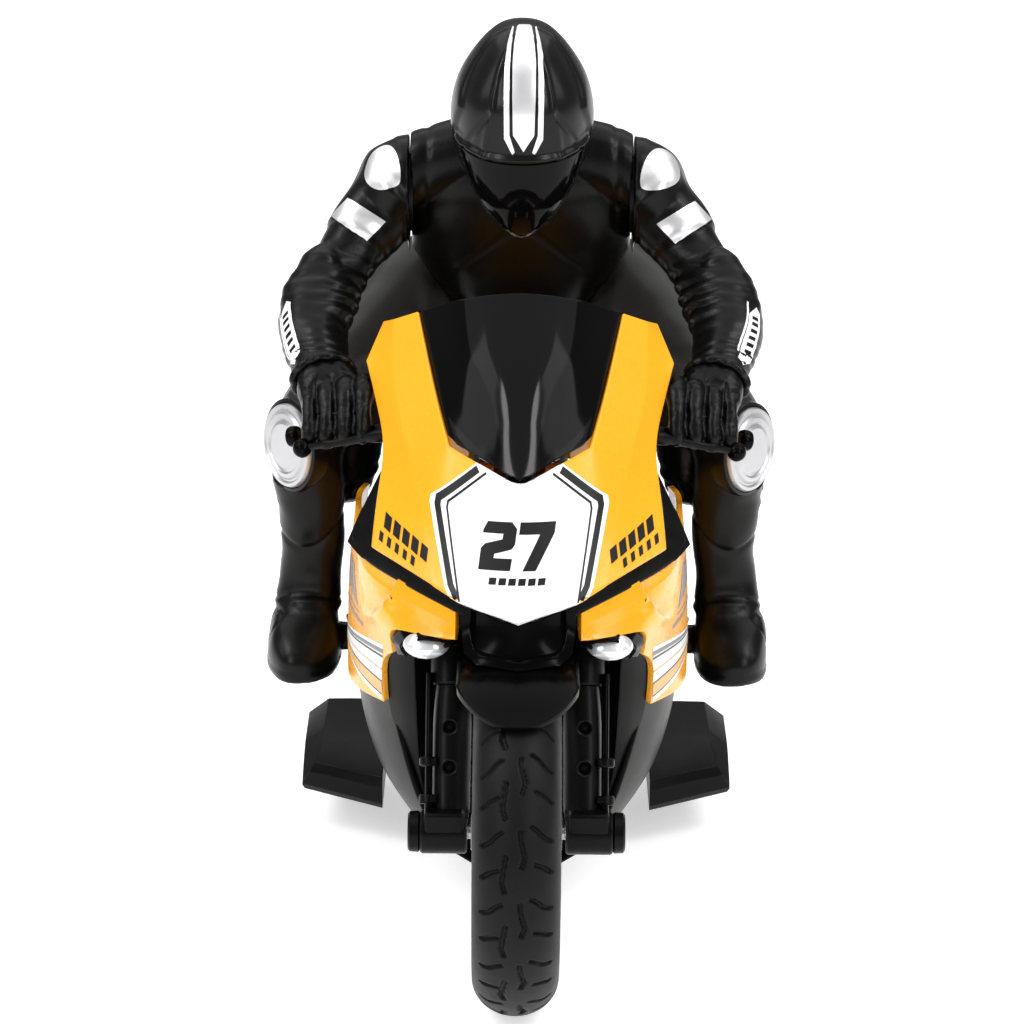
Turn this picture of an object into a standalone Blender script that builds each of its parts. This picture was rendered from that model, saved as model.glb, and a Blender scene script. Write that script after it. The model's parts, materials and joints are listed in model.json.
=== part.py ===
"""Radio-controlled racing motorcycle with a rider figure.

Sizes in this file are millimetres; every mesh is scaled to metres as it is made. The bike drives towards -Y, +Z is up,
and the origin lies on the ground midway between the two wheels.
"""

import math

import bmesh
import bpy
from mathutils import Vector

MM = 0.001

# Driving dimensions
WHEEL_RADIUS = 38.0
WHEELBASE = 180.0
RAKE = math.radians(24)
FRONT_TYRE_HALF = 9.0
REAR_TYRE_HALF = 12.5
RIM_RADIUS = 27.2
FORK_SPREAD = 17.9
FORK_OFFSET = 7.0
GAP = 0.3
SHELL = 1.2
SHOULDER_X = 25.0
HIP_X = 13.0

# Gear train: module and tooth counts
MODULE = 0.6
REAR_TEETH = 50
IDLER_TEETH = 45
PINION_TEETH = 10
DRIVE_TILT = math.radians(12)

FRONT_AXLE = Vector((0, -WHEELBASE / 2, WHEEL_RADIUS))
REAR_AXLE = Vector((0, WHEELBASE / 2, WHEEL_RADIUS))
FORK_UP = Vector((0, math.sin(RAKE), math.cos(RAKE)))
FORK_BACK = Vector((0, math.cos(RAKE), -math.sin(RAKE)))
STEER_BASE = FRONT_AXLE + FORK_BACK * FORK_OFFSET
ROLLER_RADIUS = 6.0
ROLLER_CENTRE = Vector((41.0, 26.0, ROLLER_RADIUS))
SHOULDER_PIVOT = Vector((SHOULDER_X, 15.0, 151.0))
X_AXIS = Vector((1, 0, 0))
BODY_CORE = Vector((0, 0, 80))
HELMET_CENTRE = Vector((0, 2.5, 172.4))
HELMET_TIP = math.radians(14)
TORSO_LEAN = Vector((0, -0.5, 0.866))


# ---------------------------------------------------------------- materials

def material(name, colour, roughness, metallic=0.0):
    made = bpy.data.materials.new(name)
    made.use_nodes = True
    shader = made.node_tree.nodes["Principled BSDF"]
    shader.inputs["Base Color"].default_value = (*colour, 1.0)
    shader.inputs["Roughness"].default_value = roughness
    shader.inputs["Metallic"].default_value = metallic
    return made


def make_materials():
    return {
        "yellow": material("yellow_plastic", (0.95, 0.55, 0.02), 0.3),
        "gloss_black": material("gloss_black_plastic", (0.012, 0.012, 0.013), 0.15),
        "black": material("black_plastic", (0.02, 0.02, 0.021), 0.4),
        "suit": material("suit_black", (0.016, 0.016, 0.017), 0.45),
        "silver": material("silver_paint", (0.8, 0.8, 0.8), 0.3, 0.4),
        "rubber": material("tyre_rubber", (0.03, 0.03, 0.03), 0.8),
        "steel": material("steel", (0.5, 0.5, 0.52), 0.3, 1.0),
        "smoke": material("smoked_screen", (0.01, 0.01, 0.012), 0.08),
        "red": material("tail_lens_red", (0.5, 0.01, 0.01), 0.2),
        "nylon": material("gear_nylon", (0.85, 0.85, 0.82), 0.5),
        "board": material("circuit_board_green", (0.02, 0.2, 0.06), 0.5),
        "cell": material("battery_wrap", (0.05, 0.15, 0.45), 0.4),
        "copper": material("copper_winding", (0.7, 0.3, 0.12), 0.35, 0.8),
    }


# ---------------------------------------------------------------- modelling tools

def new_object(name, bm, mat, sharp=35):
    """The closed bmesh, in millimetres, as a smooth-shaded object in metres with its faces out."""
    bmesh.ops.recalc_face_normals(bm, faces=bm.faces)
    if bm.calc_volume(signed=True) < 0:
        bmesh.ops.reverse_faces(bm, faces=bm.faces)
    return linked(name, bm, mat, sharp)


def linked(name, bm, mat, sharp):
    """The bmesh scaled to metres, as an object of the scene."""
    bmesh.ops.scale(bm, vec=(MM, MM, MM), verts=bm.verts)
    mesh = bpy.data.meshes.new(name)
    bm.to_mesh(mesh)
    bm.free()
    mesh.materials.append(mat)
    mesh.shade_smooth()
    mesh.set_sharp_from_angle(angle=math.radians(sharp))
    obj = bpy.data.objects.new(name, mesh)
    bpy.context.scene.collection.objects.link(obj)
    return obj


def combine(body, tool, operation):
    """Applies a Boolean of body with tool, and removes the tool."""
    modifier = body.modifiers.new(operation, "BOOLEAN")
    modifier.operation = operation
    modifier.solver = "EXACT"
    modifier.object = tool
    bpy.context.view_layer.update()
    graph = bpy.context.evaluated_depsgraph_get()
    mesh = bpy.data.meshes.new_from_object(body.evaluated_get(graph))
    body.modifiers.clear()
    body.data = mesh
    bpy.data.objects.remove(tool)
    return body


def cut(body, *tools):
    for tool in tools:
        combine(body, tool, "DIFFERENCE")
    return body


def unite(body, *tools):
    for tool in tools:
        combine(body, tool, "UNION")
    return body


def loft(name, rings, mat, sharp=35):
    """A closed solid through rings of equal point count, with flat end caps."""
    bm = bmesh.new()
    loops = [[bm.verts.new(p) for p in points] for points in rings]
    for lower, upper in zip(loops, loops[1:]):
        for i in range(len(lower)):
            j = (i + 1) % len(lower)
            bm.faces.new((lower[i], lower[j], upper[j], upper[i]))
    bm.faces.new(loops[0][::-1])
    bm.faces.new(loops[-1])
    return new_object(name, bm, mat, sharp)


def ring(centre, normal, half_width, half_height, count=16, power=2.0, across=X_AXIS):
    """A superellipse round centre, with its width along across made square to normal."""
    normal = Vector(normal).normalized()
    u = Vector(across) - normal * Vector(across).dot(normal)
    u.normalize()
    w = normal.cross(u)
    points = []
    for i in range(count):
        a = 2 * math.pi * i / count
        c, s = math.cos(a), math.sin(a)
        x = half_width * math.copysign(abs(c) ** (2 / power), c)
        y = half_height * math.copysign(abs(s) ** (2 / power), s)
        points.append(Vector(centre) + u * x + w * y)
    return points


def limb(name, stations, mat, count=14, first_normal=None, across=X_AXIS):
    """A tapering solid through (x, y, z, half width, half depth) stations, its rings square to the path."""
    centres = [Vector(s[:3]) for s in stations]
    rings = []
    for i, station in enumerate(stations):
        before, after = centres[max(i - 1, 0)], centres[min(i + 1, len(centres) - 1)]
        normal = after - before
        if i == 0 and first_normal is not None:
            normal = first_normal
        rings.append(ring(centres[i], normal, station[3], station[4], count, 2.3, across))
    return loft(name, rings, mat)


def rod(name, start, end, radius, mat, sides=16, end_radius=None):
    """A round bar, or a cone if end_radius differs."""
    start, end = Vector(start), Vector(end)
    along = end - start
    across = X_AXIS if abs(along.normalized().x) < 0.9 else Vector((0, 1, 0))
    tip = radius if end_radius is None else end_radius
    return loft(name, [ring(start, along, radius, radius, sides, across=across),
                       ring(end, along, tip, tip, sides, across=across)], mat)


def turned(name, profile, centre, sides, mat):
    """A closed (x, radius) outline turned about the X axis through centre."""
    bm = bmesh.new()
    loops = []
    for i in range(sides):
        a = 2 * math.pi * i / sides
        loops.append([bm.verts.new(Vector(centre) + Vector((x, r * math.cos(a), r * math.sin(a))))
                      for x, r in profile])
    for i in range(sides):
        here, there = loops[i], loops[(i + 1) % sides]
        for k in range(len(profile)):
            m = (k + 1) % len(profile)
            bm.faces.new((here[k], here[m], there[m], there[k]))
    return new_object(name, bm, mat)


def prism(name, outline, low_x, high_x, mat):
    """A (y, z) outline extruded along X."""
    return loft(name, [[Vector((x, y, z)) for y, z in outline] for x in (low_x, high_x)], mat, 20)


def box(name, low, high, mat, bevel=0.0):
    bm = bmesh.new()
    bmesh.ops.create_cube(bm, size=1)
    low, high = Vector(low), Vector(high)
    for vert in bm.verts:
        vert.co = [(low[k] + high[k]) / 2 + vert.co[k] * (high[k] - low[k]) for k in range(3)]
    if bevel:
        bmesh.ops.bevel(bm, geom=bm.edges[:], offset=bevel, segments=1, affect="EDGES")
    return new_object(name, bm, mat, 20)


def panel(name, points, faces, thickness, mat, mirror=True, core=BODY_CORE):
    """A thin shell whose outside faces away from core, over a cage of named points.

    With mirror, the cage is the +X half and X = 0 is its seam."""
    bm = bmesh.new()
    sides = (1, -1) if mirror else (1,)
    verts = {}
    for side in sides:
        for key, (x, y, z) in points.items():
            shared = side < 0 and abs(x) < 1e-6
            verts[side, key] = verts[1, key] if shared else bm.verts.new((side * x, y, z))
        for face in faces:
            loop = [verts[side, key] for key in face]
            bm.faces.new(loop if side > 0 else loop[::-1])
    bmesh.ops.recalc_face_normals(bm, faces=bm.faces)
    if sum(f.calc_area() * f.normal.dot(f.calc_center_median() - core) for f in bm.faces) < 0:
        bmesh.ops.reverse_faces(bm, faces=bm.faces)
    obj = linked(name, bm, mat, 35)
    solidify = obj.modifiers.new("thickness", "SOLIDIFY")
    solidify.thickness = thickness * MM
    solidify.offset = -1
    solidify.use_even_offset = True
    return obj


def flipped(side, point):
    """The point on the left (side 1) or mirrored to the other side (side -1)."""
    return Vector((side * point[0], point[1], point[2]))


def empty(name, location, parent=None):
    made = bpy.data.objects.new(name, None)
    made.location = Vector(location) * MM
    bpy.context.scene.collection.objects.link(made)
    if parent:
        attach(parent, made)
    return made


def attach(parent, *children):
    """Parents objects without moving them."""
    bpy.context.view_layer.update()
    for child in children:
        child.parent = parent
        child.matrix_parent_inverse = parent.matrix_world.inverted()


# ---------------------------------------------------------------- wheels and drive

def tyre(name, centre, half, mat):
    """A tyre with a round crown, solid down to its bead."""
    outer = WHEEL_RADIUS
    crown = [(half * math.sin(a), outer - 8.0 * (1 - math.cos(a)))
             for a in (math.radians(d) for d in (-90, -66, -42, -20, 0, 20, 42, 66, 90))]
    bead = [(half * 0.8, RIM_RADIUS + GAP), (-half * 0.8, RIM_RADIUS + GAP)]
    return turned(name, crown + bead, centre, 40, mat)


def rim(name, centre, half, hub_half, mat):
    """A five-spoke wheel: band, web and hub turned in one, with five windows cut through the web."""
    web = 1.8
    inner = RIM_RADIUS - 2.4
    profile = [(-half, RIM_RADIUS), (half, RIM_RADIUS), (half, inner), (web, inner), (web, 5), (hub_half, 5),
               (hub_half, 1.65), (-hub_half, 1.65), (-hub_half, 5), (-web, 5), (-web, inner), (-half, inner)]
    body = turned(name, profile, centre, 30, mat)
    windows = bmesh.new()
    for spoke in range(5):
        middle = 2 * math.pi * (spoke + 0.5) / 5
        outline = []
        for radius, spread in ((8.5, 0.30), (inner - 1.2, 0.48)):
            angles = [middle + spread * t for t in (-1, -0.33, 0.33, 1)]
            if radius > 10:
                angles.reverse()
            outline += [(radius * math.cos(a), radius * math.sin(a)) for a in angles]
        near = [windows.verts.new((centre[0] - 4, centre[1] + y, centre[2] + z)) for y, z in outline]
        far = [windows.verts.new((centre[0] + 4, centre[1] + y, centre[2] + z)) for y, z in outline]
        windows.faces.new(near[::-1])
        windows.faces.new(far)
        for i in range(len(near)):
            j = (i + 1) % len(near)
            windows.faces.new((near[i], near[j], far[j], far[i]))
    return cut(body, new_object("windows", windows, mat))


def gear(name, centre, teeth, phase, low_x, high_x, mat, bore):
    """A spur gear with a tooth centred on the phase angle, measured from +Y towards +Z."""
    pitch = MODULE * teeth / 2
    step = 2 * math.pi / teeth
    outline = []
    for tooth in range(teeth):
        middle = phase + tooth * step
        for share, radius in ((-0.27, pitch - 1.05 * MODULE), (-0.1, pitch + 0.75 * MODULE),
                              (0.1, pitch + 0.75 * MODULE), (0.27, pitch - 1.05 * MODULE)):
            a = middle + share * step
            outline.append((centre[1] + radius * math.cos(a), centre[2] + radius * math.sin(a)))
    body = prism(name, outline, low_x, high_x, mat)
    if bore:
        hole = rod("bore", (low_x - 1, centre[1], centre[2]), (high_x + 1, centre[1], centre[2]), bore, mat, 20)
        cut(body, hole)
    return body


def hull_outline(circles, sides=28):
    """The convex outline round several (y, z, radius) circles."""
    points = sorted((y + r * math.cos(2 * math.pi * i / sides), z + r * math.sin(2 * math.pi * i / sides))
                    for y, z, r in circles for i in range(sides))

    def half(order):
        chain = []
        for p in order:
            while len(chain) > 1 and ((chain[-1][0] - chain[-2][0]) * (p[1] - chain[-2][1])
                                      - (chain[-1][1] - chain[-2][1]) * (p[0] - chain[-2][0])) <= 1e-6:
                chain.pop()
            chain.append(p)
        return chain[:-1]

    return half(points) + half(points[::-1])


def drive_centres():
    """Centres of the idler and of the motor, in line ahead of the rear axle."""
    ahead = Vector((0, -math.cos(DRIVE_TILT), math.sin(DRIVE_TILT)))
    idler = REAR_AXLE + ahead * MODULE * (REAR_TEETH + IDLER_TEETH) / 2
    motor = idler + ahead * MODULE * (IDLER_TEETH + PINION_TEETH) / 2
    return idler, motor


def make_drive(mats, root):
    """The rear wheel with its gear, the idler, the motor and the case that holds them."""
    idler_centre, motor_centre = drive_centres()
    low_x, high_x = 15.0, 18.0
    ahead = math.pi - DRIVE_TILT
    idler_phase = ahead + math.pi + math.pi / IDLER_TEETH
    idler_step = 2 * math.pi / IDLER_TEETH
    lead = (idler_phase - ahead) % idler_step
    pinion_phase = ahead + math.pi - lead * IDLER_TEETH / PINION_TEETH + math.pi / PINION_TEETH

    wheel = empty("rear_wheel_pivot", REAR_AXLE, root)
    axle = rod("rear_axle", REAR_AXLE - X_AXIS * 19.5, REAR_AXLE + X_AXIS * 18.3, 1.5, mats["steel"])
    attach(wheel, tyre("rear_tyre", REAR_AXLE, REAR_TYRE_HALF, mats["rubber"]),
           rim("rear_rim", REAR_AXLE, 10.0, 12.6, mats["silver"]), axle,
           gear("rear_gear", REAR_AXLE, REAR_TEETH, ahead, low_x, high_x, mats["nylon"], 1.65))
    attach(empty("idler_pivot", idler_centre, root),
           gear("idler_gear", idler_centre, IDLER_TEETH, idler_phase, low_x, high_x, mats["nylon"], 1.65))
    pinion = gear("motor_pinion", motor_centre, PINION_TEETH, pinion_phase, low_x, high_x, mats["steel"], 0)
    unite(pinion, rod("shaft", motor_centre + X_AXIS * 13.5, motor_centre + X_AXIS * 16, 1.0, mats["steel"], 12))
    attach(empty("motor_pivot", motor_centre, root), pinion)

    centres = [(c.y, c.z) for c in (REAR_AXLE, idler_centre, motor_centre)]
    outside = hull_outline([(y, z, r) for (y, z), r in zip(centres, (18.0, 16.6, 7.4))])
    inside = hull_outline([(y, z, r) for (y, z), r in zip(centres, (16.5, 15.1, 6.0))])
    case = prism("gear_case", outside, 13.5, 18.6, mats["black"])
    cut(case, prism("cavity", inside, 14.5, 20, mats["black"]),
        rod("axle_hole", REAR_AXLE, REAR_AXLE + X_AXIS * 16, 1.8, mats["black"]),
        rod("shaft_hole", motor_centre, motor_centre + X_AXIS * 16, 1.5, mats["black"]))
    unite(case, rod("idler_post", idler_centre + X_AXIS * 14, idler_centre + X_AXIS * 18.3, 1.4, mats["black"]))
    cover = prism("gear_case_cover", outside, 18.9, 20.1, mats["black"])
    motor = rod("drive_motor", motor_centre - X_AXIS * 4, motor_centre + X_AXIS * 13.2, 6.0, mats["steel"], 24)
    arm = prism("swingarm", hull_outline([(REAR_AXLE.y, REAR_AXLE.z, 6.5), (47.0, 45.0, 7.0)]), -19.0, -14.0,
                mats["black"])
    cut(arm, rod("axle_hole", REAR_AXLE - X_AXIS * 22, REAR_AXLE - X_AXIS * 12, 1.8, mats["black"]))
    attach(root, case, cover, motor, arm)


# ---------------------------------------------------------------- fork and front wheel

def on_fork(side, along, back=0.0, spread=FORK_SPREAD):
    """A point beside the front wheel: side, distance up the fork line, and distance behind it."""
    return FRONT_AXLE + FORK_UP * along + FORK_BACK * back + X_AXIS * side * spread


def fork_leg(name, side, mats):
    """Lower leg: a guard with two lightening holes, the axle boss and two clips for the guide rod."""
    rings = [ring(on_fork(side, s, 0.6, 13.7), FORK_UP, w, d, 12) for s, w, d in
             ((3.0, 3.7, 4.2), (10, 3.8, 3.9), (20, 3.8, 3.9), (30.2, 3.6, 3.8))]
    leg = loft(name, rings, mats["black"])
    boss = rod("boss", FRONT_AXLE + X_AXIS * side * 10.2, FRONT_AXLE + X_AXIS * side * 20.4, 4.6, mats["black"], 20)
    unite(leg, boss)
    for along in (9.0, 16.0):
        clip = loft("clip", [ring(on_fork(side, along + h, -1.6, 17.6), FORK_UP, 2.5, 1.8, 8, 6) for h in (0, 1.6)],
                    mats["black"])
        unite(leg, clip)
    cut(leg, rod("rod_hole", on_fork(side, 4.5, -1.8, 18.4), on_fork(side, 32, -1.8, 18.4), 1.05, mats["black"], 12),
        rod("axle_hole", FRONT_AXLE + X_AXIS * side * 8, FRONT_AXLE + X_AXIS * side * 23, 1.8, mats["black"]))
    for along in (13.5, 22.0):
        cut(leg, rod("hole", on_fork(side, along, -6, 14.2), on_fork(side, along, -1.6, 14.2), 1.3, mats["black"], 12))
    return leg


def fork_yoke(mats):
    """Both stanchions, the lower clamp across them, the steering stem and the magnet arm."""
    clamp_low, clamp_high, stem_top = 57.0, 61.0, 76.0
    rings = []
    for along in (clamp_low, clamp_high):
        outline = [(-22.3, -4.2), (22.3, -4.2), (22.3, 3.5), (6, 11.5), (-6, 11.5), (-22.3, 3.5)]
        rings.append([FRONT_AXLE + FORK_UP * along + FORK_BACK * b + X_AXIS * x for x, b in outline])
    yoke = loft("fork_yoke", rings, mats["black"], 20)
    for side in (1, -1):
        unite(yoke, rod("stanchion", on_fork(side, 30.6), on_fork(side, 58), 4.1, mats["black"]))
    stem = rod("stem", STEER_BASE + FORK_UP * 60, STEER_BASE + FORK_UP * stem_top, 3.0, mats["black"])
    arm = loft("arm", [[STEER_BASE + FORK_UP * s + FORK_BACK * b + X_AXIS * x
                        for x, b in ((-2, -2), (2, -2), (1.4, 8.0), (-1.4, 8.0))] for s in (73.0, stem_top)],
               mats["black"], 20)
    return unite(yoke, stem, arm)


def front_fender(mats):
    """A mudguard arched over the tyre, its front lip rounded, with a tab down to each fork leg."""
    points, faces = {}, []
    columns = ((0, 39.9), (5, 39.6), (9.5, 38.6), (12.2, 36.8))
    start, end, rows = math.radians(54.5), math.radians(128), 9
    for i in range(rows + 1):
        for k, (x, radius) in enumerate(columns):
            first = start + math.radians(12) * (x / 12.2) ** 2
            a = first + (end - first) * i / rows
            points[i, k] = (x, FRONT_AXLE.y - radius * math.cos(a), FRONT_AXLE.z + radius * math.sin(a))
    for i in range(rows):
        for k in range(len(columns) - 1):
            faces.append([(i, k), (i + 1, k), (i + 1, k + 1), (i, k + 1)])
    fender = panel("front_fender", points, faces, SHELL, mats["gloss_black"], core=FRONT_AXLE)
    for side in (1, -1):
        tab = loft("tab", [[on_fork(side, s, b, x) for x, b in ((10.6, -3), (12.2, -3), (12.2, 3.5), (10.6, 3.5))]
                           for s in (30.6, 37.5)], mats["gloss_black"], 20)
        unite(fender, tab)
    return fender


def make_fork(mats, root):
    """Everything that steers: fork, fender and front wheel."""
    steer = empty("steering_pivot", STEER_BASE + FORK_UP * 60, root)
    attach(steer, fork_yoke(mats), front_fender(mats))
    for side, word in ((1, "left"), (-1, "right")):
        guide = rod(f"fork_rod_{word}", on_fork(side, 5.4, -1.8, 18.4), on_fork(side, 30.3, -1.8, 18.4), 0.75,
                    mats["steel"], 12)
        attach(steer, fork_leg(f"fork_leg_{word}", side, mats), guide)
    axle = rod("front_axle", FRONT_AXLE - X_AXIS * 20.9, FRONT_AXLE + X_AXIS * 20.9, 1.5, mats["steel"])
    for side in (1, -1):
        unite(axle, rod("nut", FRONT_AXLE + X_AXIS * side * 20.7, FRONT_AXLE + X_AXIS * side * 22.6, 3.1,
                        mats["steel"], 6))
    magnet_centre = STEER_BASE + FORK_UP * 74.5 + FORK_BACK * 11.2
    magnet = rod("steering_magnet", magnet_centre - X_AXIS * 2, magnet_centre + X_AXIS * 2, 2.8, mats["steel"])
    attach(steer, axle, magnet)
    wheel = empty("front_wheel_pivot", FRONT_AXLE, steer)
    attach(wheel, tyre("front_tyre", FRONT_AXLE, FRONT_TYRE_HALF, mats["rubber"]),
           rim("front_rim", FRONT_AXLE, 7.0, 9.6, mats["silver"]))


# ---------------------------------------------------------------- chassis and its contents

def make_chassis(mats, root):
    """The tray, the steering head, the coil, and what the tray carries."""
    tray = box("chassis", (-14.5, -43, 21), (14.5, 38.3, 50), mats["black"])
    cut(tray, box("well", (-12.9, -41.4, 22.6), (12.9, 36.7, 60), mats["black"]),
        box("battery_opening", (-8.5, -28, 15), (8.5, 4, 30), mats["black"]),
        box("switch_opening", (-6, 5.2, 15), (6, 12, 30), mats["black"]))
    post = loft("post", [[Vector((x, y, z)) for x, y in ((-w, a), (w, a), (w, b), (-w, b))]
                         for z, w, a, b in ((48, 14.4, 26, 38.2), (72, 9, 24, 37.5), (91, 9, 22, 52))],
                mats["black"], 20)
    unite(tray, post)

    head_low, head_high = STEER_BASE + FORK_UP * 62.2, STEER_BASE + FORK_UP * 72.4
    head = rod("steering_head", head_low, head_high, 5.6, mats["black"], 20)
    beam = loft("beam", [[Vector((x, y, z)) for x, y in ((-5, a), (5, a), (5, b), (-5, b))]
                         for z, a, b in ((50.3, -43, -35), (76, -45.5, -38.5), (92, -54, -47))], mats["black"], 20)
    unite(head, beam)
    cut(head, rod("stem_hole", head_low - FORK_UP * 3, head_high + FORK_UP * 3, 3.3, mats["black"], 20))

    coil_centre = STEER_BASE + FORK_UP * 74.5 + FORK_BACK * 11.2
    coil = box("steering_coil", (-9.4, coil_centre.y + 3.4, coil_centre.z - 4), (9.4, coil_centre.y + 5.6,
               coil_centre.z + 4), mats["copper"])
    for side in (1, -1):
        unite(coil, rod("winding", coil_centre + X_AXIS * side * 5.6, coil_centre + X_AXIS * side * 9.4, 4.2,
                        mats["copper"]))

    battery = rod("battery", (0, -36, 30), (0, 14, 30), 7.0, mats["cell"], 20)
    board = box("circuit_board", (-11.5, -34, 40), (11.5, 18, 41.4), mats["board"])
    for low, high in (((-8, -28, 41), (-1, -20, 43)), ((2, -14, 41), (9, -4, 43.4)), ((-7, 2, 41), (4, 9, 46))):
        unite(board, box("chip", low, high, mats["board"]))
    attach(root, tray, head, coil, battery, board)


# ---------------------------------------------------------------- body panels

FAIRING_POINTS = {
    "tip": (0, -98, 86.9), "low": (12.5, -92, 89.2), "crease_low": (17.8, -87, 91.2), "corner": (30.8, -72, 94.6),
    "mid": (0, -88.2, 98.0), "plate": (15.8, -79, 102.2), "crease_mid": (20.6, -74, 101.6), "side": (30.2, -62, 101.6),
    "screen_tip": (0, -76.4, 109.0), "screen_low": (14.9, -63.6, 114.0), "crease_waist": (22.8, -60.5, 109.0),
    "waist": (28.6, -50, 109.6), "screen_side": (17.4, -54, 119.8), "crease_ear": (26.2, -49, 116.2),
    "ear_low": (30.6, -41.5, 115.6), "screen_high": (19.8, -43, 127.2), "crease_high": (27.6, -38, 124.6),
    "ear": (33.4, -32, 123.7), "screen_top": (22.2, -30.5, 134.4), "crease_top": (27.6, -28, 132.0),
    "ear_top": (29.9, -24.5, 130.6),
}
FAIRING_FACES = [
    ("mid", "tip", "low", "plate"), ("plate", "low", "crease_low", "crease_mid"),
    ("crease_mid", "crease_low", "corner", "side"), ("screen_tip", "mid", "plate", "screen_low"),
    ("screen_low", "plate", "crease_mid", "crease_waist"), ("crease_waist", "crease_mid", "side", "waist"),
    ("screen_side", "screen_low", "crease_waist", "crease_ear"), ("crease_ear", "crease_waist", "waist", "ear_low"),
    ("screen_high", "screen_side", "crease_ear", "crease_high"), ("crease_high", "crease_ear", "ear_low", "ear"),
    ("screen_top", "screen_high", "crease_high", "crease_top"), ("crease_top", "crease_high", "ear", "ear_top"),
]
COWL_POINTS = {
    "b1": (11.6, -90.4, 84.6), "b2": (15, -87.0, 85.1), "b3": (20.5, -81.5, 85.8), "b4": (28.5, -71.5, 86.6),
    "b5": (33, -64, 88.2), "b6": (35.8, -58.5, 91.5), "b7": (33.4, -52.5, 97.5), "b8": (30.0, -47, 103.0),
    "h1": (11.6, -87.8, 89.0), "h2": (15, -84.2, 90.2), "h3": (20.5, -77.6, 91.8), "h4": (26.8, -69, 94.0),
    "h5": (28.2, -64, 96.0), "h6": (28.0, -58, 98.6), "h7": (26.8, -52, 102.4), "h8": (26.0, -46.6, 106.4),
}
COWL_FACES = [(f"h{i}", f"b{i}", f"b{i + 1}", f"h{i + 1}") for i in range(1, 8)]
SIDE_POINTS = {
    "a0": (12.9, -89.4, 83.2), "a1": (20.5, -82.0, 84.4), "a2": (28.5, -72.3, 85.2), "a3": (33.0, -64.8, 86.6),
    "a4": (34.8, -54, 88.8), "a5": (35.2, -44, 95.0), "a6": (36.2, -24, 94.0), "a7": (35.4, 4, 90.0),
    "b0": (12.9, -90.2, 80.4), "b1": (20.5, -87.6, 80.6), "b2": (27.2, -78.2, 79.0), "b3": (31.4, -66.5, 78.0),
    "b4": (34.8, -54, 77.0), "b5": (36.6, -42, 76.4), "b6": (38.2, -24, 75.0), "b7": (37.4, 4, 72.0),
    "c2": (26.2, -76.4, 72.6), "c3": (29.4, -64, 67.0), "c4": (33.0, -52.0, 64.8), "c5": (36.6, -40, 62.0),
    "c6": (38.6, -22, 59.6), "c7": (38.2, 4, 57.0),
    "d3": (28.8, -56, 54.0), "d4": (32.8, -48, 52.8), "d5": (36.4, -37, 50.8), "d6": (38.8, -20, 48.2),
    "d7": (38.4, 4, 45.6),
}
SIDE_FACES = ([(f"a{i}", f"b{i}", f"b{i + 1}", f"a{i + 1}") for i in range(7)]
              + [(f"b{i}", f"c{i}", f"c{i + 1}", f"b{i + 1}") for i in range(2, 7)]
              + [(f"c{i}", f"d{i}", f"d{i + 1}", f"c{i + 1}") for i in range(3, 7)])
SCREEN_ROWS = [
    ((0, -75.6, 110.2), (7.2, -69.6, 112.6), (14.0, -63.2, 115.0)),
    ((0, -66.5, 119.6), (9.0, -62.0, 119.4), (16.4, -54.2, 120.4)),
    ((0, -55.5, 130.0), (10.4, -51.8, 129.2), (18.8, -43.4, 127.8)),
    ((0, -41.0, 141.2), (12.0, -38.2, 139.2), (21.4, -31.2, 134.6)),
]
BELLY_SECTIONS = {
    -49: ((0, 13.0), (8, 13.0), (17.5, 19), (23, 29), (26.5, 42), (27.2, 51)),
    -36: ((0, 11.6), (10, 11.6), (23, 18.5), (30.5, 29), (33.8, 42), (34.0, 49.0)),
    -14: ((0, 11.6), (11, 11.6), (25, 18.5), (33, 29), (36.6, 40), (36.9, 46.5)),
    10: ((0, 11.6), (11, 11.6), (24, 18.5), (31, 28), (35.5, 39), (36.2, 44.5)),
    34: ((0, 14), (10, 14), (18.5, 20), (22, 28), (24, 39), (24.5, 44.5)),
}


def grid(rows, name_of=lambda i, k: (i, k)):
    """Points and quads of a rectangular cage given as rows."""
    points = {name_of(i, k): p for i, row in enumerate(rows) for k, p in enumerate(row)}
    faces = [(name_of(i, k), name_of(i + 1, k), name_of(i + 1, k + 1), name_of(i, k + 1))
             for i in range(len(rows) - 1) for k in range(len(rows[0]) - 1)]
    return points, faces


def one_side(points, side):
    return {key: (side * x, y, z) for key, (x, y, z) in points.items()}


def inner_cowl(mats):
    """The black under-layer of the nose: one band on each side, joined by a bridge behind the number plate."""
    left = panel("inner_cowl", COWL_POINTS, COWL_FACES, SHELL, mats["black"], mirror=False)
    right = panel("band", one_side(COWL_POINTS, -1), COWL_FACES, SHELL, mats["black"], mirror=False)
    bridge = box("bridge", (-14, -88.6, 86.2), (14, -85.6, 88.6), mats["black"])
    return unite(left, bridge, right)


def nose_intake(mats):
    """The five-sided black panel under the number plate."""
    front = [(0, -97.4, 85.6), (11.0, -92.4, 87.2), (11.2, -92.4, 84.0), (10.6, -95.0, 78.8), (0, -99.5, 78.0),
             (-10.6, -95.0, 78.8), (-11.2, -92.4, 84.0), (-11.0, -92.4, 87.2)]
    return loft("nose_intake", [[Vector(p) for p in front], [Vector((x, y + 2.4, z)) for x, y, z in front]],
                mats["gloss_black"], 20)


def headlight(name, side, mats):
    """An oval lens with a domed front."""
    centre = flipped(side, (18.9, -85.8, 77.6))
    rings = [ring(centre + Vector((0, y, z)), (0, 1, 0), w, h, 14) for y, w, h, z in
             ((-2.6, 2.4, 1.1, -0.2), (-1.8, 4.2, 1.9, -0.1), (-0.4, 5.2, 2.4, 0), (1.4, 5.0, 2.3, 0))]
    return loft(name, rings, mats["silver"])


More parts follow.
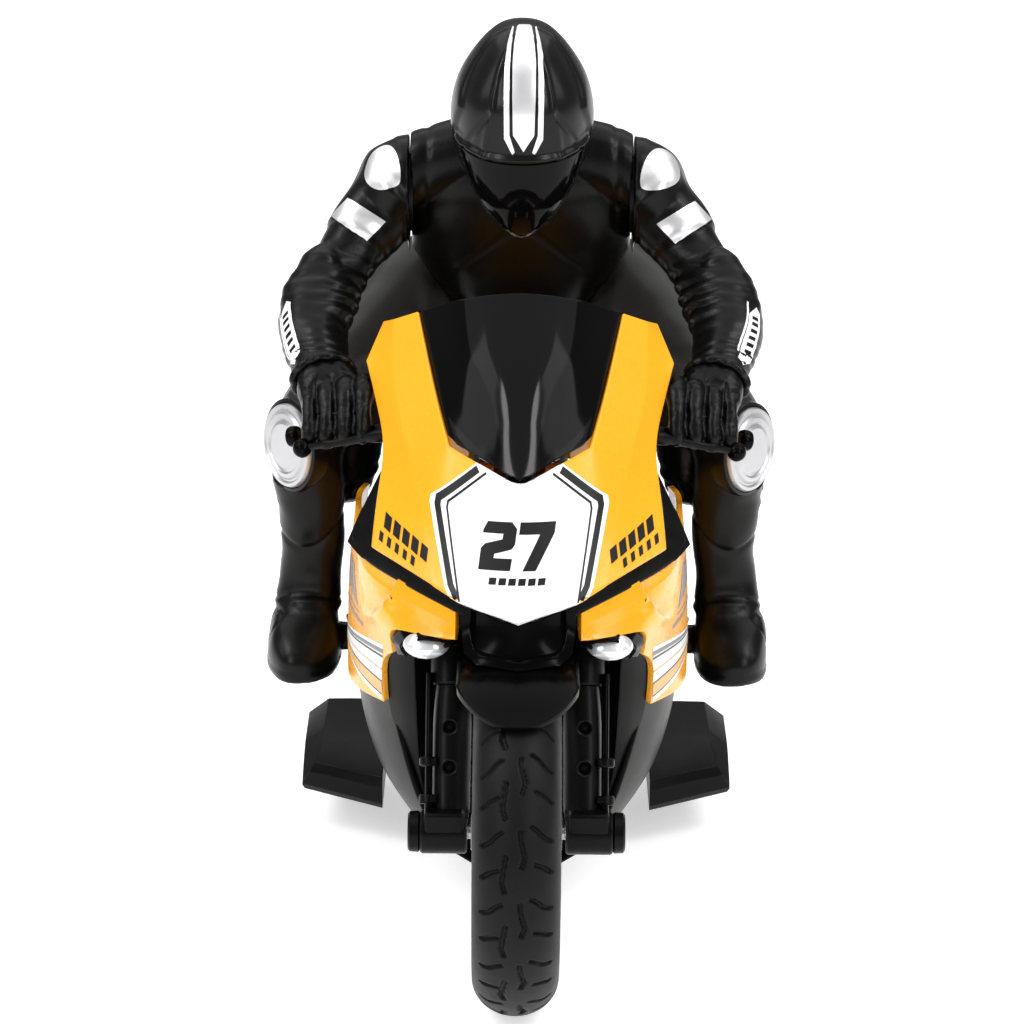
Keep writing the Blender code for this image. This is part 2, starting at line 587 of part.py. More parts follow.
def handlebar(name, side, mats):
    """A clip-on bar with its grip and end cap, and the lever with its ball end on a perch."""
    inner, outer = Vector((12.0, -47.1, 113.9)), Vector((49.2, -30.6, 106.0))
    along = (outer - inner).normalized()
    at = lambda x: inner + along * ((x - inner.x) / along.x)
    bar = rod(name, flipped(side, inner), flipped(side, at(48.5)), 1.3, mats["black"], 12)
    unite(bar, rod("grip", flipped(side, at(32)), flipped(side, at(48.2)), 1.9, mats["black"], 14),
          rod("cap", flipped(side, at(48.0)), flipped(side, at(50.4)), 2.3, mats["black"], 14))
    root, ball = Vector((29.0, -44.5, 110.6)), Vector((47.0, -38.2, 105.6))
    unite(bar, rod("lever", flipped(side, root), flipped(side, ball), 0.9, mats["black"], 10),
          rod("perch", flipped(side, at(30.2)), flipped(side, root + (ball - root) * 0.05), 1.1, mats["black"], 10))
    knob = bmesh.new()
    bmesh.ops.create_icosphere(knob, subdivisions=2, radius=2.1)
    bmesh.ops.translate(knob, vec=flipped(side, ball), verts=knob.verts)
    return unite(bar, new_object("knob", knob, mats["black"]))


def arched(name, stations, mat, thickness=1.4, count=9):
    """An open-bottomed shell through (y, half width, edge height, crown height) stations."""
    rows = []
    for y, half, edge, crown in stations:
        row = []
        for k in range(count):
            a = math.pi * k / (count - 1)
            row.append((half * math.cos(a), y, edge + (crown - edge) * math.sin(a) ** 0.75))
        rows.append(row)
    points, faces = grid(rows)
    return panel(name, points, faces, thickness, mat, mirror=False)


def make_body(mats, root):
    front = panel("front_fairing", FAIRING_POINTS, FAIRING_FACES, SHELL, mats["yellow"])
    screen_points, screen_faces = grid(SCREEN_ROWS)
    screen = panel("windshield", screen_points, screen_faces, 1.0, mats["smoke"])
    attach(root, front, screen, inner_cowl(mats), nose_intake(mats))
    for side, word in ((1, "left"), (-1, "right")):
        fairing = panel(f"side_fairing_{word}", one_side(SIDE_POINTS, side), SIDE_FACES, SHELL,
                        mats["yellow"], mirror=False)
        attach(root, fairing, headlight(f"headlight_{word}", side, mats), handlebar(f"handlebar_{word}", side, mats),
               side_cover(f"side_cover_{word}", side, mats))

    belly_points, belly_faces = grid([[(x, y, z) for x, z in section] for y, section in BELLY_SECTIONS.items()])
    belly = panel("belly_pan", belly_points, belly_faces, 1.3, mats["gloss_black"])
    door_low, door_high = Vector((-7.5, -26, 11.3)), Vector((7.5, 2, 12.9))
    room = Vector((GAP, GAP, 3))
    cut(belly, box("door_hole", door_low - room, door_high + room, mats["black"]),
        box("switch_slot", (-4.2, 6.2, 8), (4.2, 9.4, 16), mats["black"]))
    door = box("battery_door", door_low, door_high, mats["black"])
    screw_at = Vector((0, -23, 0))
    cut(door, rod("recess", screw_at + Vector((0, 0, 8)), screw_at + Vector((0, 0, 12.2)), 1.9, mats["black"]))
    screw = rod("door_screw", screw_at + Vector((0, 0, 11.4)), screw_at + Vector((0, 0, 11.9)), 1.5, mats["steel"], 12)
    plate = [(0, 15), (8, 15), (15.6, 20.6), (20.6, 30), (23.8, 42), (24.6, 54), (20, 60)]
    outline = plate + [(-x, z) for x, z in plate[:0:-1]]
    radiator = loft("radiator", [[Vector((x, y, z)) for x, z in outline] for y in (-48.6, -46.8)], mats["black"], 20)

    tank = arched("tank_cover", ((-36, 11, 103, 113), (-26, 17, 100, 117.5), (-12, 20, 97, 118.5), (4, 17, 96, 114),
                                 (16, 11, 96.5, 105)), mats["yellow"])
    seat = loft("seat", [ring((0, y, z), (0, 1, 0), w, h, 14, 3) for y, z, w, h in
                         ((18, 95, 9, 2.4), (28, 94.6, 12.5, 2.8), (44, 95, 13, 2.9), (56, 97.5, 10, 3))],
                mats["black"])
    tail = loft("tail_cowl", [ring((0, y, z), (0, 1, 0), w, h, 16, 2.6) for y, z, w, h in
                              ((57, 98.0, 11, 5.0), (66, 103, 12.5, 7.5), (84, 109, 11, 7.5), (102, 114.5, 7.5, 5),
                               (112, 118, 3.5, 2.2))], mats["yellow"])
    lamp = loft("tail_light", [ring((0, y, z), (0, 1, 0), w, h, 12, 3) for y, z, w, h in
                               ((112.4, 117.8, 3.4, 2.0), (115.4, 118.2, 2.6, 1.4))], mats["red"])
    attach(root, belly, door, screw, radiator, tank, seat, tail, lamp)
    return door


def side_cover(name, side, mats):
    """The frame-side moulding behind the fairing, with the footpeg."""
    rows = [((29, -2, 90), (31, -2, 70), (32, -2, 50)), ((27, 12, 91), (29.5, 12, 70), (31, 12, 50)),
            ((20, 28, 91.4), (24.5, 28, 70), (27, 28, 50)), ((15.5, 43, 91.6), (20.5, 40, 72), (23, 38, 56))]
    points, faces = grid(rows)
    cover = panel(name, one_side(points, side), faces, 1.4, mats["black"], mirror=False)
    peg = rod("peg", flipped(side, (29, 14, 53)), flipped(side, (39.4, 10, 49)), 2.0, mats["black"], 12)
    return unite(cover, peg)


def make_wing(name, side, mats):
    """A stabiliser pod beside the rear of the belly, its bracket, and a well for the roller under it."""
    inner, outer = 32.0, 49.8

    def section(front, slope, low, high, bevel):
        shape = [(inner, low), (outer, low + 0.6), (outer + 0.4, high - 3.6), (outer - bevel, high), (inner, high)]
        return [flipped(side, (x, front + slope * (x - inner), z)) for x, z in shape]

    rings = [section(-8.0, 0.58, 10.4, 14.8, 1.2), section(-6.6, 0.56, 9.0, 16.8, 2.6), section(4, 0.3, 9.0, 19.4, 3.8),
             section(14, 0.05, 9.0, 21.0, 4.2), section(32, 0, 9.0, 21.8, 4.4), section(41, 0, 10.5, 16.0, 3.6)]
    pod = loft(name, rings, mats["black"], 20)
    unite(pod, box("bracket", *sorted_corners(flipped(side, (26.8, 8, 13)), flipped(side, (33, 30, 19))),
                   mats["black"]))
    well_low = flipped(side, (ROLLER_CENTRE.x - 4.0, 18.6, 5))
    well_high = flipped(side, (ROLLER_CENTRE.x + 4.0, 33.4, 13.6))
    return cut(pod, box("well", *sorted_corners(well_low, well_high), mats["black"]))


def sorted_corners(a, b):
    return Vector(map(min, a, b)), Vector(map(max, a, b))


def make_wings(mats, root):
    for side, word in ((1, "left"), (-1, "right")):
        attach(root, make_wing(f"wing_{word}", side, mats))
        centre = flipped(side, ROLLER_CENTRE)
        profile = [(-3.2, 4.9), (-2.2, ROLLER_RADIUS), (2.2, ROLLER_RADIUS), (3.2, 4.9), (3.2, 1.2), (-3.2, 1.2)]
        attach(empty(f"roller_pivot_{word}", centre, root),
               turned(f"roller_{word}", profile, centre, 20, mats["rubber"]))


# ---------------------------------------------------------------- rider

# Helmet sections: height above its centre, forward shift, half width, half depth
HELMET_SECTIONS = ((19.2, -0.6, 4.2, 5.0), (17.0, -0.4, 8.2, 9.6), (13.0, 0, 12.0, 14.0), (7.0, 0, 15.2, 17.4),
                   (0.5, 0, 16.2, 18.5), (-6.0, 0.6, 15.6, 18.3), (-11.5, 2.2, 13.4, 17.2), (-16.5, 4.2, 10.2, 15.0),
                   (-21.0, 6.2, 6.6, 12.0), (-23.6, 7.6, 3.4, 9.0))


def helmet_frame():
    """The helmet's own up and forward directions, tipped towards the front wheel."""
    up = Vector((0, -math.sin(HELMET_TIP), math.cos(HELMET_TIP)))
    return up, Vector((0, -math.cos(HELMET_TIP), -math.sin(HELMET_TIP)))


def helmet_rings(grow=0.0, count=20):
    """Rings of the full-face shell from crown to chin, optionally grown outwards."""
    up, forward = helmet_frame()
    return [ring(HELMET_CENTRE + up * (height + math.copysign(grow, height)) + forward * shift, up, width + grow,
                 depth + grow, count, 2.15) for height, shift, width, depth in HELMET_SECTIONS]


def visor(mats):
    """A shield that follows the shell round the face and narrows to the chin, just clear of it."""
    up, forward = helmet_frame()
    clear = 1.5
    rows = []
    for (height, shift, width, depth), reach in zip(HELMET_SECTIONS[5:9], (64, 56, 46, 26)):
        rows.append([])
        for k in range(11):
            a = math.radians(reach) * (k / 5 - 1)
            rows[-1].append(HELMET_CENTRE + up * height + X_AXIS * (width + clear) * math.sin(a)
                            + forward * (shift + (depth + clear) * math.cos(a)))
    points, faces = grid(rows)
    return panel("visor", points, faces, 0.9, mats["smoke"], mirror=False, core=HELMET_CENTRE)


def torso(mats):
    """Chest and back, leaning forward, with flat sides where the arms pivot and a socket for the helmet."""
    stations = ((44.5, 113.6, 12.6, 11.0), (39, 122.5, 13.0, 11.6), (33.5, 131, 17.5, 12.5), (28, 140, 23, 13.5),
                (22.5, 149, 27.5, 13.5), (18, 156.5, 26.5, 12), (15.0, 162.0, 20, 8))
    rings = []
    for y, z, w, d in stations:
        points = ring((0, y, z), TORSO_LEAN, w, d, 20, 2.6)
        rings.append([Vector((max(-SHOULDER_X, min(SHOULDER_X, p.x)), p.y, p.z)) for p in points])
    body = loft("rider_torso", rings, mats["suit"])
    return cut(body, loft("socket", helmet_rings(0.5), mats["suit"]))


def arm(name, side, mats):
    """Upper arm, forearm and gloved hand in one, with the palm open behind the grip so that it lifts off."""
    stations = ((25.4, 14.5, 149.5, 9.8, 12.0), (32, 13, 147, 8.8, 10.0), (37, 9.5, 141, 7.6, 7.6),
                (41.5, 3.5, 135, 7.2, 7.2), (44.8, -4, 129.5, 8.4, 8.4), (45.7, -12, 124.6, 8.1, 7.8),
                (44.0, -20, 120.2, 6.6, 6.4), (43, -25.5, 117.6, 5.2, 5.2), (41.8, -29.5, 115.6, 6.2, 5.4),
                (40.8, -33.2, 112.4, 6.3, 4.8), (40.4, -35.4, 109.4, 5.9, 3.8), (40.2, -36.2, 107.6, 5.2, 2.6))
    placed = [(side * x, y, z, w, d) for x, y, z, w, d in stations]
    return limb(name, placed, mats["suit"], 14, X_AXIS * side, Vector((0, 1, 0)))


def hand_slot(side, mats):
    """The cutter for the palm: a channel round the grip that opens backwards and down."""
    inner, outer = Vector((12.0, -47.1, 113.9)), Vector((49.2, -30.6, 106.0))
    along = (outer - inner).normalized()
    start, end = inner + along * 14, outer + along * 8
    away = Vector((0, 0.66, -0.75))
    sideways = along.cross(away).normalized()
    rings = []
    for at in (start, end):
        points = []
        for i in range(9):
            a = math.pi * i / 8
            points.append(at + sideways * 2.3 * math.cos(a) - away * 2.3 * math.sin(a))
        points += [at - sideways * 2.3 + away * 14, at + sideways * 2.3 + away * 14]
        rings.append([flipped(side, p) for p in points])
    return loft("slot", rings, mats["suit"])


def leg(name, side, mats):
    """Thigh, shin and boot in one, from a flat hip joint to the sole."""
    stations = ((13.4, 47.5, 115.5, 9.4, 11.6), (22, 41, 115, 9.6, 11.0), (33, 26, 109, 9.2, 9.6),
                (42.5, 12, 103, 8.6, 8.8), (48.2, 2.5, 95.5, 8.8, 8.8), (48.9, 5.0, 84, 7.6, 8.0),
                (48.3, 8.5, 72, 6.9, 7.6), (48.2, 10, 62, 6.7, 7.4), (48.6, 9, 54, 7.2, 8.2))
    placed = [(side * x, y, z, w, d) for x, y, z, w, d in stations]
    body = limb(name, placed, mats["suit"], 14, X_AXIS * side, Vector((0, 1, 0)))
    foot = loft("foot", [ring(flipped(side, (x, y, z)), (0, 0, 1), w, d, 16, 2.5) for x, y, z, w, d in
                         ((48.7, 9, 55.5, 6.9, 7.8), (48.9, 6, 51, 7.8, 12.0), (49.1, 4, 46.5, 8.1, 14.2),
                          (49.1, 4, 42.6, 8.0, 14.4), (49.1, 4, 40.8, 7.2, 13.6))], mats["suit"])
    return unite(body, foot)


def knee_slider(name, side, mats):
    """The round silver puck on the outside of the knee."""
    normal = flipped(side, (0.80, -0.58, 0.05)).normalized()
    centre = flipped(side, (50.2, -2.6, 96.0)) + normal * 0.8
    across = Vector((0, 0, 1))
    return loft(name, [ring(centre + normal * h, normal, r, r, 18, across=across) for h, r in
                       ((0, 9.6), (2.2, 9.6), (3.4, 8.0))], mats["silver"])


def make_rider(mats, root):
    rings = []
    for y, z, w, d, lean in ((45, 100.9, 11, 9, (0, 0, 1)), (46, 105, 14.5, 11.0, (0, -0.2, 0.98)),
                             (44.8, 113.1, 15.5, 11.0, TORSO_LEAN)):
        rings.append([Vector((max(-HIP_X, min(HIP_X, p.x)), p.y, p.z)) for p in ring((0, y, z), lean, w, d, 16, 3)])
    hips = loft("rider_hips", rings, mats["suit"])
    lid = helmet_rings()
    attach(root, hips, torso(mats), loft("helmet", lid, mats["gloss_black"]), visor(mats))
    for side, word in ((1, "left"), (-1, "right")):
        slider = knee_slider(f"knee_slider_{word}", side, mats)
        limb_leg = leg(f"leg_{word}", side, mats)
        seat_for_slider = knee_slider("slider_room", side, mats)
        grow_about_centre(seat_for_slider, 1.05)
        cut(limb_leg, seat_for_slider)
        attach(root, limb_leg, slider)
        swinging = arm(f"arm_{word}", side, mats)
        cut(swinging, hand_slot(side, mats))
        attach(empty(f"shoulder_pivot_{word}", flipped(side, SHOULDER_PIVOT), root), swinging)


def grow_about_centre(obj, share):
    """Scales a mesh about the middle of its own points."""
    middle = sum((v.co for v in obj.data.vertices), Vector()) / len(obj.data.vertices)
    for vert in obj.data.vertices:
        vert.co = middle + (vert.co - middle) * share


def make_switch(mats, root):
    """The slide switch's knob in its slot under the belly."""
    pivot = empty("switch_rail", (-2.0, 7.8, 11), root)
    attach(pivot, box("power_switch", (-3.6, 6.7, 10.7), (-0.6, 8.9, 15), mats["black"]))


def main():
    for obj in list(bpy.data.objects):
        bpy.data.objects.remove(obj)
    mats = make_materials()
    root = empty("motorcycle", (0, 0, 0))
    make_chassis(mats, root)
    make_drive(mats, root)
    make_fork(mats, root)
    make_body(mats, root)
    make_wings(mats, root)
    make_rider(mats, root)
    make_switch(mats, root)


main()
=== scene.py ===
"""The looks of the radio-controlled motorcycle and its rider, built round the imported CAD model.

Shapes are worked out in millimetres in the part's frame: the bike drives towards -Y, +X is its left, +Z is
up. They are scaled to metres as each mesh is made, so every piece sits at the origin with its place in its
mesh, like the CAD nodes.
"""

import json
import math

import bmesh
import bpy
import numpy as np
from mathutils import Matrix, Vector, noise
from mathutils.bvhtree import BVHTree


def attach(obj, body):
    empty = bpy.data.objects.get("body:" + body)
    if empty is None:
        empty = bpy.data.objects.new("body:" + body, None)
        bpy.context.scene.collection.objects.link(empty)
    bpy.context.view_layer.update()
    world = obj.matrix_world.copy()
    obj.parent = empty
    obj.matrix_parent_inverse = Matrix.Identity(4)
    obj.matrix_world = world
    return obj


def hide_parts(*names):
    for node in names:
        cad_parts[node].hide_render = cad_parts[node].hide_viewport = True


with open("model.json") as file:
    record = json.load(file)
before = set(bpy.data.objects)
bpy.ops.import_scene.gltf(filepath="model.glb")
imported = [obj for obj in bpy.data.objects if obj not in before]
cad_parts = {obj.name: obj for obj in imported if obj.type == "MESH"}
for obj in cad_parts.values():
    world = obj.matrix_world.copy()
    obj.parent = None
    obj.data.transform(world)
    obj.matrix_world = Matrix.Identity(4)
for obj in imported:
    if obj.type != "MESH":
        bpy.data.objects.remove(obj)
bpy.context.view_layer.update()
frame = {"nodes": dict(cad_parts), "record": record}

MM = 0.001
WHEEL_RADIUS = 38.0
RIM_RADIUS = 27.2
AXLE_RADIUS = 1.5
ROLLER_X = 41.0
SHOULDER_X = 25.0
HIP_X = 13.0
RAKE = math.radians(24)
FRONT_AXLE = Vector((0, -90, WHEEL_RADIUS))
REAR_AXLE = Vector((0, 90, WHEEL_RADIUS))
FORK_UP = Vector((0, math.sin(RAKE), math.cos(RAKE)))
FORK_BACK = Vector((0, math.cos(RAKE), -math.sin(RAKE)))
STEER_BASE = FRONT_AXLE + FORK_BACK * 7
X_AXIS = Vector((1, 0, 0))
Y_AXIS = Vector((0, 1, 0))
CORE = Vector((0, 0, 80))
SIDES = ((1, "left"), (-1, "right"))
HELMET_CENTRE = Vector((0, 2.5, 172.4))
HELMET_TIP = math.radians(14)
HELMET_UP = Vector((0, -math.sin(HELMET_TIP), math.cos(HELMET_TIP)))
HELMET_FORWARD = Vector((0, -math.cos(HELMET_TIP), -math.sin(HELMET_TIP)))
CAMERA_PLACE = (-0.0015, -0.7853, 0.3271)
CAMERA_DOWN, CAMERA_ROLL = math.radians(17.5), math.radians(0.5)
CAMERA_LENS = 126.62


# ---------------------------------------------------------------- materials

def shader(name, colour, roughness, metallic=0.0, coat=0.0, grain=0.0, grain_size=0.35, mottle=0.12,
           mottle_size=9.0,
           rough_var=0.06, specular=0.5, dirt=None):
    """A procedural plastic, paint or metal: mottled colour, uneven gloss and a moulded grain. Sizes in mm."""
    made = bpy.data.materials.new(name)
    made.use_nodes = True
    nodes, links = made.node_tree.nodes, made.node_tree.links
    bsdf = nodes["Principled BSDF"]
    bsdf.inputs["Metallic"].default_value = metallic
    bsdf.inputs["Coat Weight"].default_value = coat
    bsdf.inputs["Coat Roughness"].default_value = 0.06
    bsdf.inputs["Specular IOR Level"].default_value = specular
    where = nodes.new("ShaderNodeTexCoord").outputs["Object"]

    def cloud(size, detail=3.0):
        found = nodes.new("ShaderNodeTexNoise")
        found.inputs["Scale"].default_value = 1000.0 / size
        found.inputs["Detail"].default_value = detail
        links.new(where, found.inputs["Vector"])
        return found.outputs["Fac"]

    mix = nodes.new("ShaderNodeMix")
    mix.data_type = "RGBA"
    mix.inputs["A"].default_value = (*[c * (1 - mottle) for c in colour], 1)
    mix.inputs["B"].default_value = (*[min(1.0, c * (1 + mottle)) for c in (dirt or colour)], 1)
    links.new(cloud(mottle_size), mix.inputs["Factor"])
    links.new(mix.outputs["Result"], bsdf.inputs["Base Color"])
    level = nodes.new("ShaderNodeMapRange")
    level.inputs["To Min"].default_value = max(0.02, roughness - rough_var)
    level.inputs["To Max"].default_value = roughness + rough_var
    links.new(cloud(mottle_size * 0.4, 5.0), level.inputs["Value"])
    links.new(level.outputs["Result"], bsdf.inputs["Roughness"])
    if grain:
        bump = nodes.new("ShaderNodeBump")
        bump.inputs["Strength"].default_value = grain
        bump.inputs["Distance"].default_value = 0.0001
        links.new(cloud(grain_size, 2.0), bump.inputs["Height"])
        links.new(bump.outputs["Normal"], bsdf.inputs["Normal"])
    return made


def turned_metal(name, colour, roughness):
    """Metal with fine rings from a lathe about the X axis."""
    made = shader(name, colour, roughness, metallic=1.0, mottle=0.06)
    nodes, links = made.node_tree.nodes, made.node_tree.links
    wave = nodes.new("ShaderNodeTexWave")
    wave.bands_direction = "X"
    wave.inputs["Scale"].default_value = 900
    wave.inputs["Distortion"].default_value = 0.6
    links.new(nodes["Texture Coordinate"].outputs["Object"], wave.inputs["Vector"])
    bump = nodes.new("ShaderNodeBump")
    bump.inputs["Strength"].default_value = 0.12
    bump.inputs["Distance"].default_value = 0.0001
    links.new(wave.outputs["Fac"], bump.inputs["Height"])
    links.new(bump.outputs["Normal"], nodes["Principled BSDF"].inputs["Normal"])
    return made


M = {
    "yellow": shader("yellow_gloss", (0.87, 0.36, 0.005), 0.28, coat=0.15, grain=0.06, grain_size=1.4,
                     mottle=0.02,
                     specular=0.35),
    "gloss": shader("black_gloss", (0.0014, 0.0014, 0.0015), 0.18, coat=0.01, grain=0.05, grain_size=2.0,
                    specular=0.045),
    "satin": shader("black_satin", (0.0023, 0.0022, 0.0021), 0.33, grain=0.3, grain_size=0.3, specular=0.10),
    "suit": shader("suit_satin", (0.0026, 0.0025, 0.0024), 0.31, grain=0.3, grain_size=0.55, specular=0.16),
    "glove": shader("glove_grain", (0.002, 0.002, 0.002), 0.31, grain=0.7, grain_size=0.45, specular=0.15),
    "rubber": shader("tyre_rubber", (0.0040, 0.0040, 0.0040), 0.46, grain=0.4, grain_size=0.25,
                     rough_var=0.08,
                     specular=0.11, dirt=(0.0060, 0.0059, 0.0057)),
    "helmet": shader("helmet_gloss", (0.004, 0.004, 0.004), 0.26, coat=0.03, grain=0.08, grain_size=0.7,
                     specular=0.17,
                     rough_var=0.05),
    "silver": shader("silver_paint", (0.74, 0.74, 0.75), 0.32, metallic=0.7, grain=0.25, grain_size=0.3,
                     coat=0.1),
    "puck": shader("puck_paint", (0.46, 0.46, 0.47), 0.36, metallic=0.7, grain=0.25, grain_size=0.3,
                   coat=0.1),
    "rim": shader("rim_silver", (0.78, 0.78, 0.78), 0.28, metallic=0.35, coat=0.2, grain=0.1),
    "white": shader("white_film", (0.86, 0.86, 0.86), 0.3, mottle=0.02, coat=0.1),
    "ink": shader("black_ink", (0.006, 0.006, 0.0065), 0.35, mottle=0.2, specular=0.2),
    "grey": shader("grey_ink", (0.17, 0.17, 0.18), 0.4, metallic=0.3),
    "gold": shader("gold_ink", (0.66, 0.34, 0.08), 0.35, mottle=0.08),
    "smoke": shader("smoked_screen", (0.0022, 0.0020, 0.0020), 0.08, coat=0.02, mottle=0.05, rough_var=0.02,
                    specular=0.08),
    "steel": turned_metal("steel_turned", (0.5, 0.5, 0.52), 0.26),
    "nylon": shader("gear_nylon", (0.8, 0.8, 0.76), 0.5, grain=0.3),
    "board": shader("solder_mask", (0.012, 0.13, 0.04), 0.35, mottle=0.3, mottle_size=3),
    "cell": shader("battery_wrap", (0.03, 0.1, 0.36), 0.3, coat=0.3, grain=0.2, grain_size=3),
    "copper": shader("copper_wire", (0.65, 0.26, 0.1), 0.35, metallic=0.9, grain=0.8, grain_size=0.4),
    "red": shader("red_lens", (0.55, 0.008, 0.008), 0.12, coat=0.6, grain=0.3, grain_size=1.0),
    "lens": shader("lamp_lens", (0.80, 0.81, 0.83), 0.22, metallic=0.45, coat=0.5, grain=0.08,
                   grain_size=1.6),
}


MIX_FIRST, MIX_SECOND, MIX_RESULT = 6, 7, 2  # the sockets of a mix node for colours


def painted_light_by_height(name, base, low, high, colour):
    """The base material, its colour going over to another one between two heights in metres."""
    mat = base.copy()
    mat.name = name
    nodes, links = mat.node_tree.nodes, mat.node_tree.links
    mix = nodes.new("ShaderNodeMix")
    mix.data_type = "RGBA"
    place = nodes.new("ShaderNodeTexCoord")
    split = nodes.new("ShaderNodeSeparateXYZ")
    ramp = nodes.new("ShaderNodeMapRange")
    ramp.inputs["From Min"].default_value = low
    ramp.inputs["From Max"].default_value = high
    links.new(place.outputs["Object"], split.inputs[0])
    links.new(split.outputs["Z"], ramp.inputs["Value"])
    links.new(ramp.outputs["Result"], mix.inputs["Factor"])
    source = nodes["Principled BSDF"].inputs["Base Color"]
    links.new(source.links[0].from_socket, mix.inputs[MIX_FIRST])
    mix.inputs[MIX_SECOND].default_value = (*colour, 1)
    links.new(mix.outputs[MIX_RESULT], source)
    return mat


# Painted sheen: the suit turns a lighter grey above 94 to 116 mm, on the upper thighs, standing in for the
# light that falls on them from above.
M["breeches"] = painted_light_by_height("worn_breeches", M["suit"], 0.094, 0.116, (0.036, 0.035, 0.034))


# ---------------------------------------------------------------- modelling tools

def linked(name, data):
    """An object of the scene made from a mesh, a light or a camera."""
    obj = bpy.data.objects.new(name, data)
    bpy.context.scene.collection.objects.link(obj)
    return obj


def placed(obj, body, *nodes, slot=None):
    """Says which body the piece rides on and which CAD nodes it stands for; the slot argument is not used."""
    if body:
        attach(obj, body)
    if nodes:
        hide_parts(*nodes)
    return obj


def make(name, verts, faces, mat, body, *nodes, slot=None, sharp=35):
    """A smooth-shaded piece from points in mm, riding on body and standing for the CAD nodes."""
    mesh = bpy.data.meshes.new(name)
    mesh.from_pydata([tuple(float(c) * MM for c in v) for v in verts], [], [list(map(int, f)) for f in faces])
    mesh.update()
    mesh.materials.append(mat)
    mesh.shade_smooth()
    if sharp:
        mesh.set_sharp_from_angle(angle=math.radians(sharp))
    return placed(linked(name, mesh), body, *nodes, slot=slot)


def settled(obj):
    """Applies the modifiers."""
    bpy.context.view_layer.update()
    graph = bpy.context.evaluated_depsgraph_get()
    mesh = bpy.data.meshes.new_from_object(obj.evaluated_get(graph))
    obj.modifiers.clear()
    old = obj.data
    obj.data = mesh
    bpy.data.meshes.remove(old)
    return obj


def points_of(obj):
    co = np.empty(len(obj.data.vertices) * 3, np.float32)
    obj.data.vertices.foreach_get("co", co)
    return co.reshape(-1, 3).astype(float) / MM


def set_points(obj, points):
    obj.data.vertices.foreach_set("co", (np.asarray(points) * MM).astype(np.float32).ravel())
    obj.data.update()


def normals_of(obj):
    n = np.empty(len(obj.data.vertices) * 3, np.float32)
    obj.data.vertices.foreach_get("normal", n)
    return n.reshape(-1, 3).astype(float)


def push(obj, amount):
    """Moves each point along its normal by amount(points) mm."""
    points = points_of(obj)
    set_points(obj, points + normals_of(obj) * np.asarray(amount(points))[:, None])
    return obj


def spline(rows, count):
    """Rows of numbers interpolated by a Catmull-Rom curve to count samples."""
    rows = np.asarray(rows, float)
    last = len(rows) - 1
    out = []
    for t in np.linspace(0, last, count):
        i = min(int(t), last - 1)
        f = t - i
        p = [rows[max(i - 1, 0)], rows[i], rows[i + 1], rows[min(i + 2, last)]]
        out.append(0.5 * (2 * p[1] + (p[2] - p[0]) * f + (2 * p[0] - 5 * p[1] + 4 * p[2] - p[3]) * f * f
                          + (3 * p[1] - p[0] - 3 * p[2] + p[3]) * f ** 3))
    return np.array(out)


def tube_faces(rings, count, cap=True, wrap=False):
    faces = []
    for r in range(rings if wrap else rings - 1):
        a, b = r * count, ((r + 1) % rings) * count
        for i in range(count):
            j = (i + 1) % count
            faces.append((a + i, a + j, b + j, b + i))
    if cap and not wrap:
        faces.append(tuple(range(count))[::-1])
        faces.append(tuple(range((rings - 1) * count, rings * count)))
    return faces


def grid_faces(rows, count):
    """The faces of an open sheet of rows with count points each."""
    return [(r * count + k, r * count + k + 1, (r + 1) * count + k + 1, (r + 1) * count + k)
            for r in range(rows - 1) for k in range(count - 1)]


def cage(rows):
    """Rows of points as a cage named by (row, column), with its four-sided faces."""
    points = {(r, c): p for r, row in enumerate(rows) for c, p in enumerate(row)}
    faces = [((r, c), (r + 1, c), (r + 1, c + 1), (r, c + 1))
             for r in range(len(rows) - 1) for c in range(len(rows[0]) - 1)]
    return points, faces


def fixed_normals(obj):
    """Points all faces of a closed mesh outwards."""
    bm = bmesh.new()
    bm.from_mesh(obj.data)
    bmesh.ops.recalc_face_normals(bm, faces=bm.faces)
    if bm.calc_volume(signed=True) < 0:
        bmesh.ops.reverse_faces(bm, faces=bm.faces)
    bm.to_mesh(obj.data)
    bm.free()
    return obj


def face_away(bm, core):
    """Turns an open sheet's faces so that they look away from core."""
    if sum(f.calc_area() * f.normal.dot(f.calc_center_median() - core) for f in bm.faces) < 0:
        bmesh.ops.reverse_faces(bm, faces=bm.faces)


def outward(obj, core):
    bm = bmesh.new()
    bm.from_mesh(obj.data)
    face_away(bm, Vector(core) * MM)
    bm.to_mesh(obj.data)
    bm.free()


def ring(centre, normal, wide, high, count, power=2.0, across=X_AXIS):
    normal = Vector(normal).normalized()
    u = (Vector(across) - normal * Vector(across).dot(normal)).normalized()
    w = normal.cross(u)
    points = []
    for i in range(count):
        a = 2 * math.pi * i / count
        c, s = math.cos(a), math.sin(a)
        points.append(Vector(centre) + u * wide * math.copysign(abs(c) ** (2 / power), c)
                      + w * high * math.copysign(abs(s) ** (2 / power), s))
    return points


def loft(name, rings, mat, body, *nodes, slot=None, sharp=35):
    verts = [p for r in rings for p in r]
    return fixed_normals(make(name, verts, tube_faces(len(rings), len(rings[0])), mat, body, *nodes,
                              slot=slot,
                              sharp=sharp))


def limb(name, stations, mat, body=None, count=40, samples=60, power=2.3, across=X_AXIS, ends=(None, None)):
    """A smooth tapering form through (x, y, z, half width, half depth) stations."""
    rows = spline(stations, samples)
    rings = []
    for i, row in enumerate(rows):
        ahead, behind = rows[min(i + 1, samples - 1)][:3], rows[max(i - 1, 0)][:3]
        normal = Vector(ahead - behind)
        if i == 0 and ends[0] is not None:
            normal = Vector(ends[0])
        if i == samples - 1 and ends[1] is not None:
            normal = Vector(ends[1])
        rings.append(ring(row[:3], normal, row[3], row[4], count, power, across))
    return loft(name, rings, mat, body)


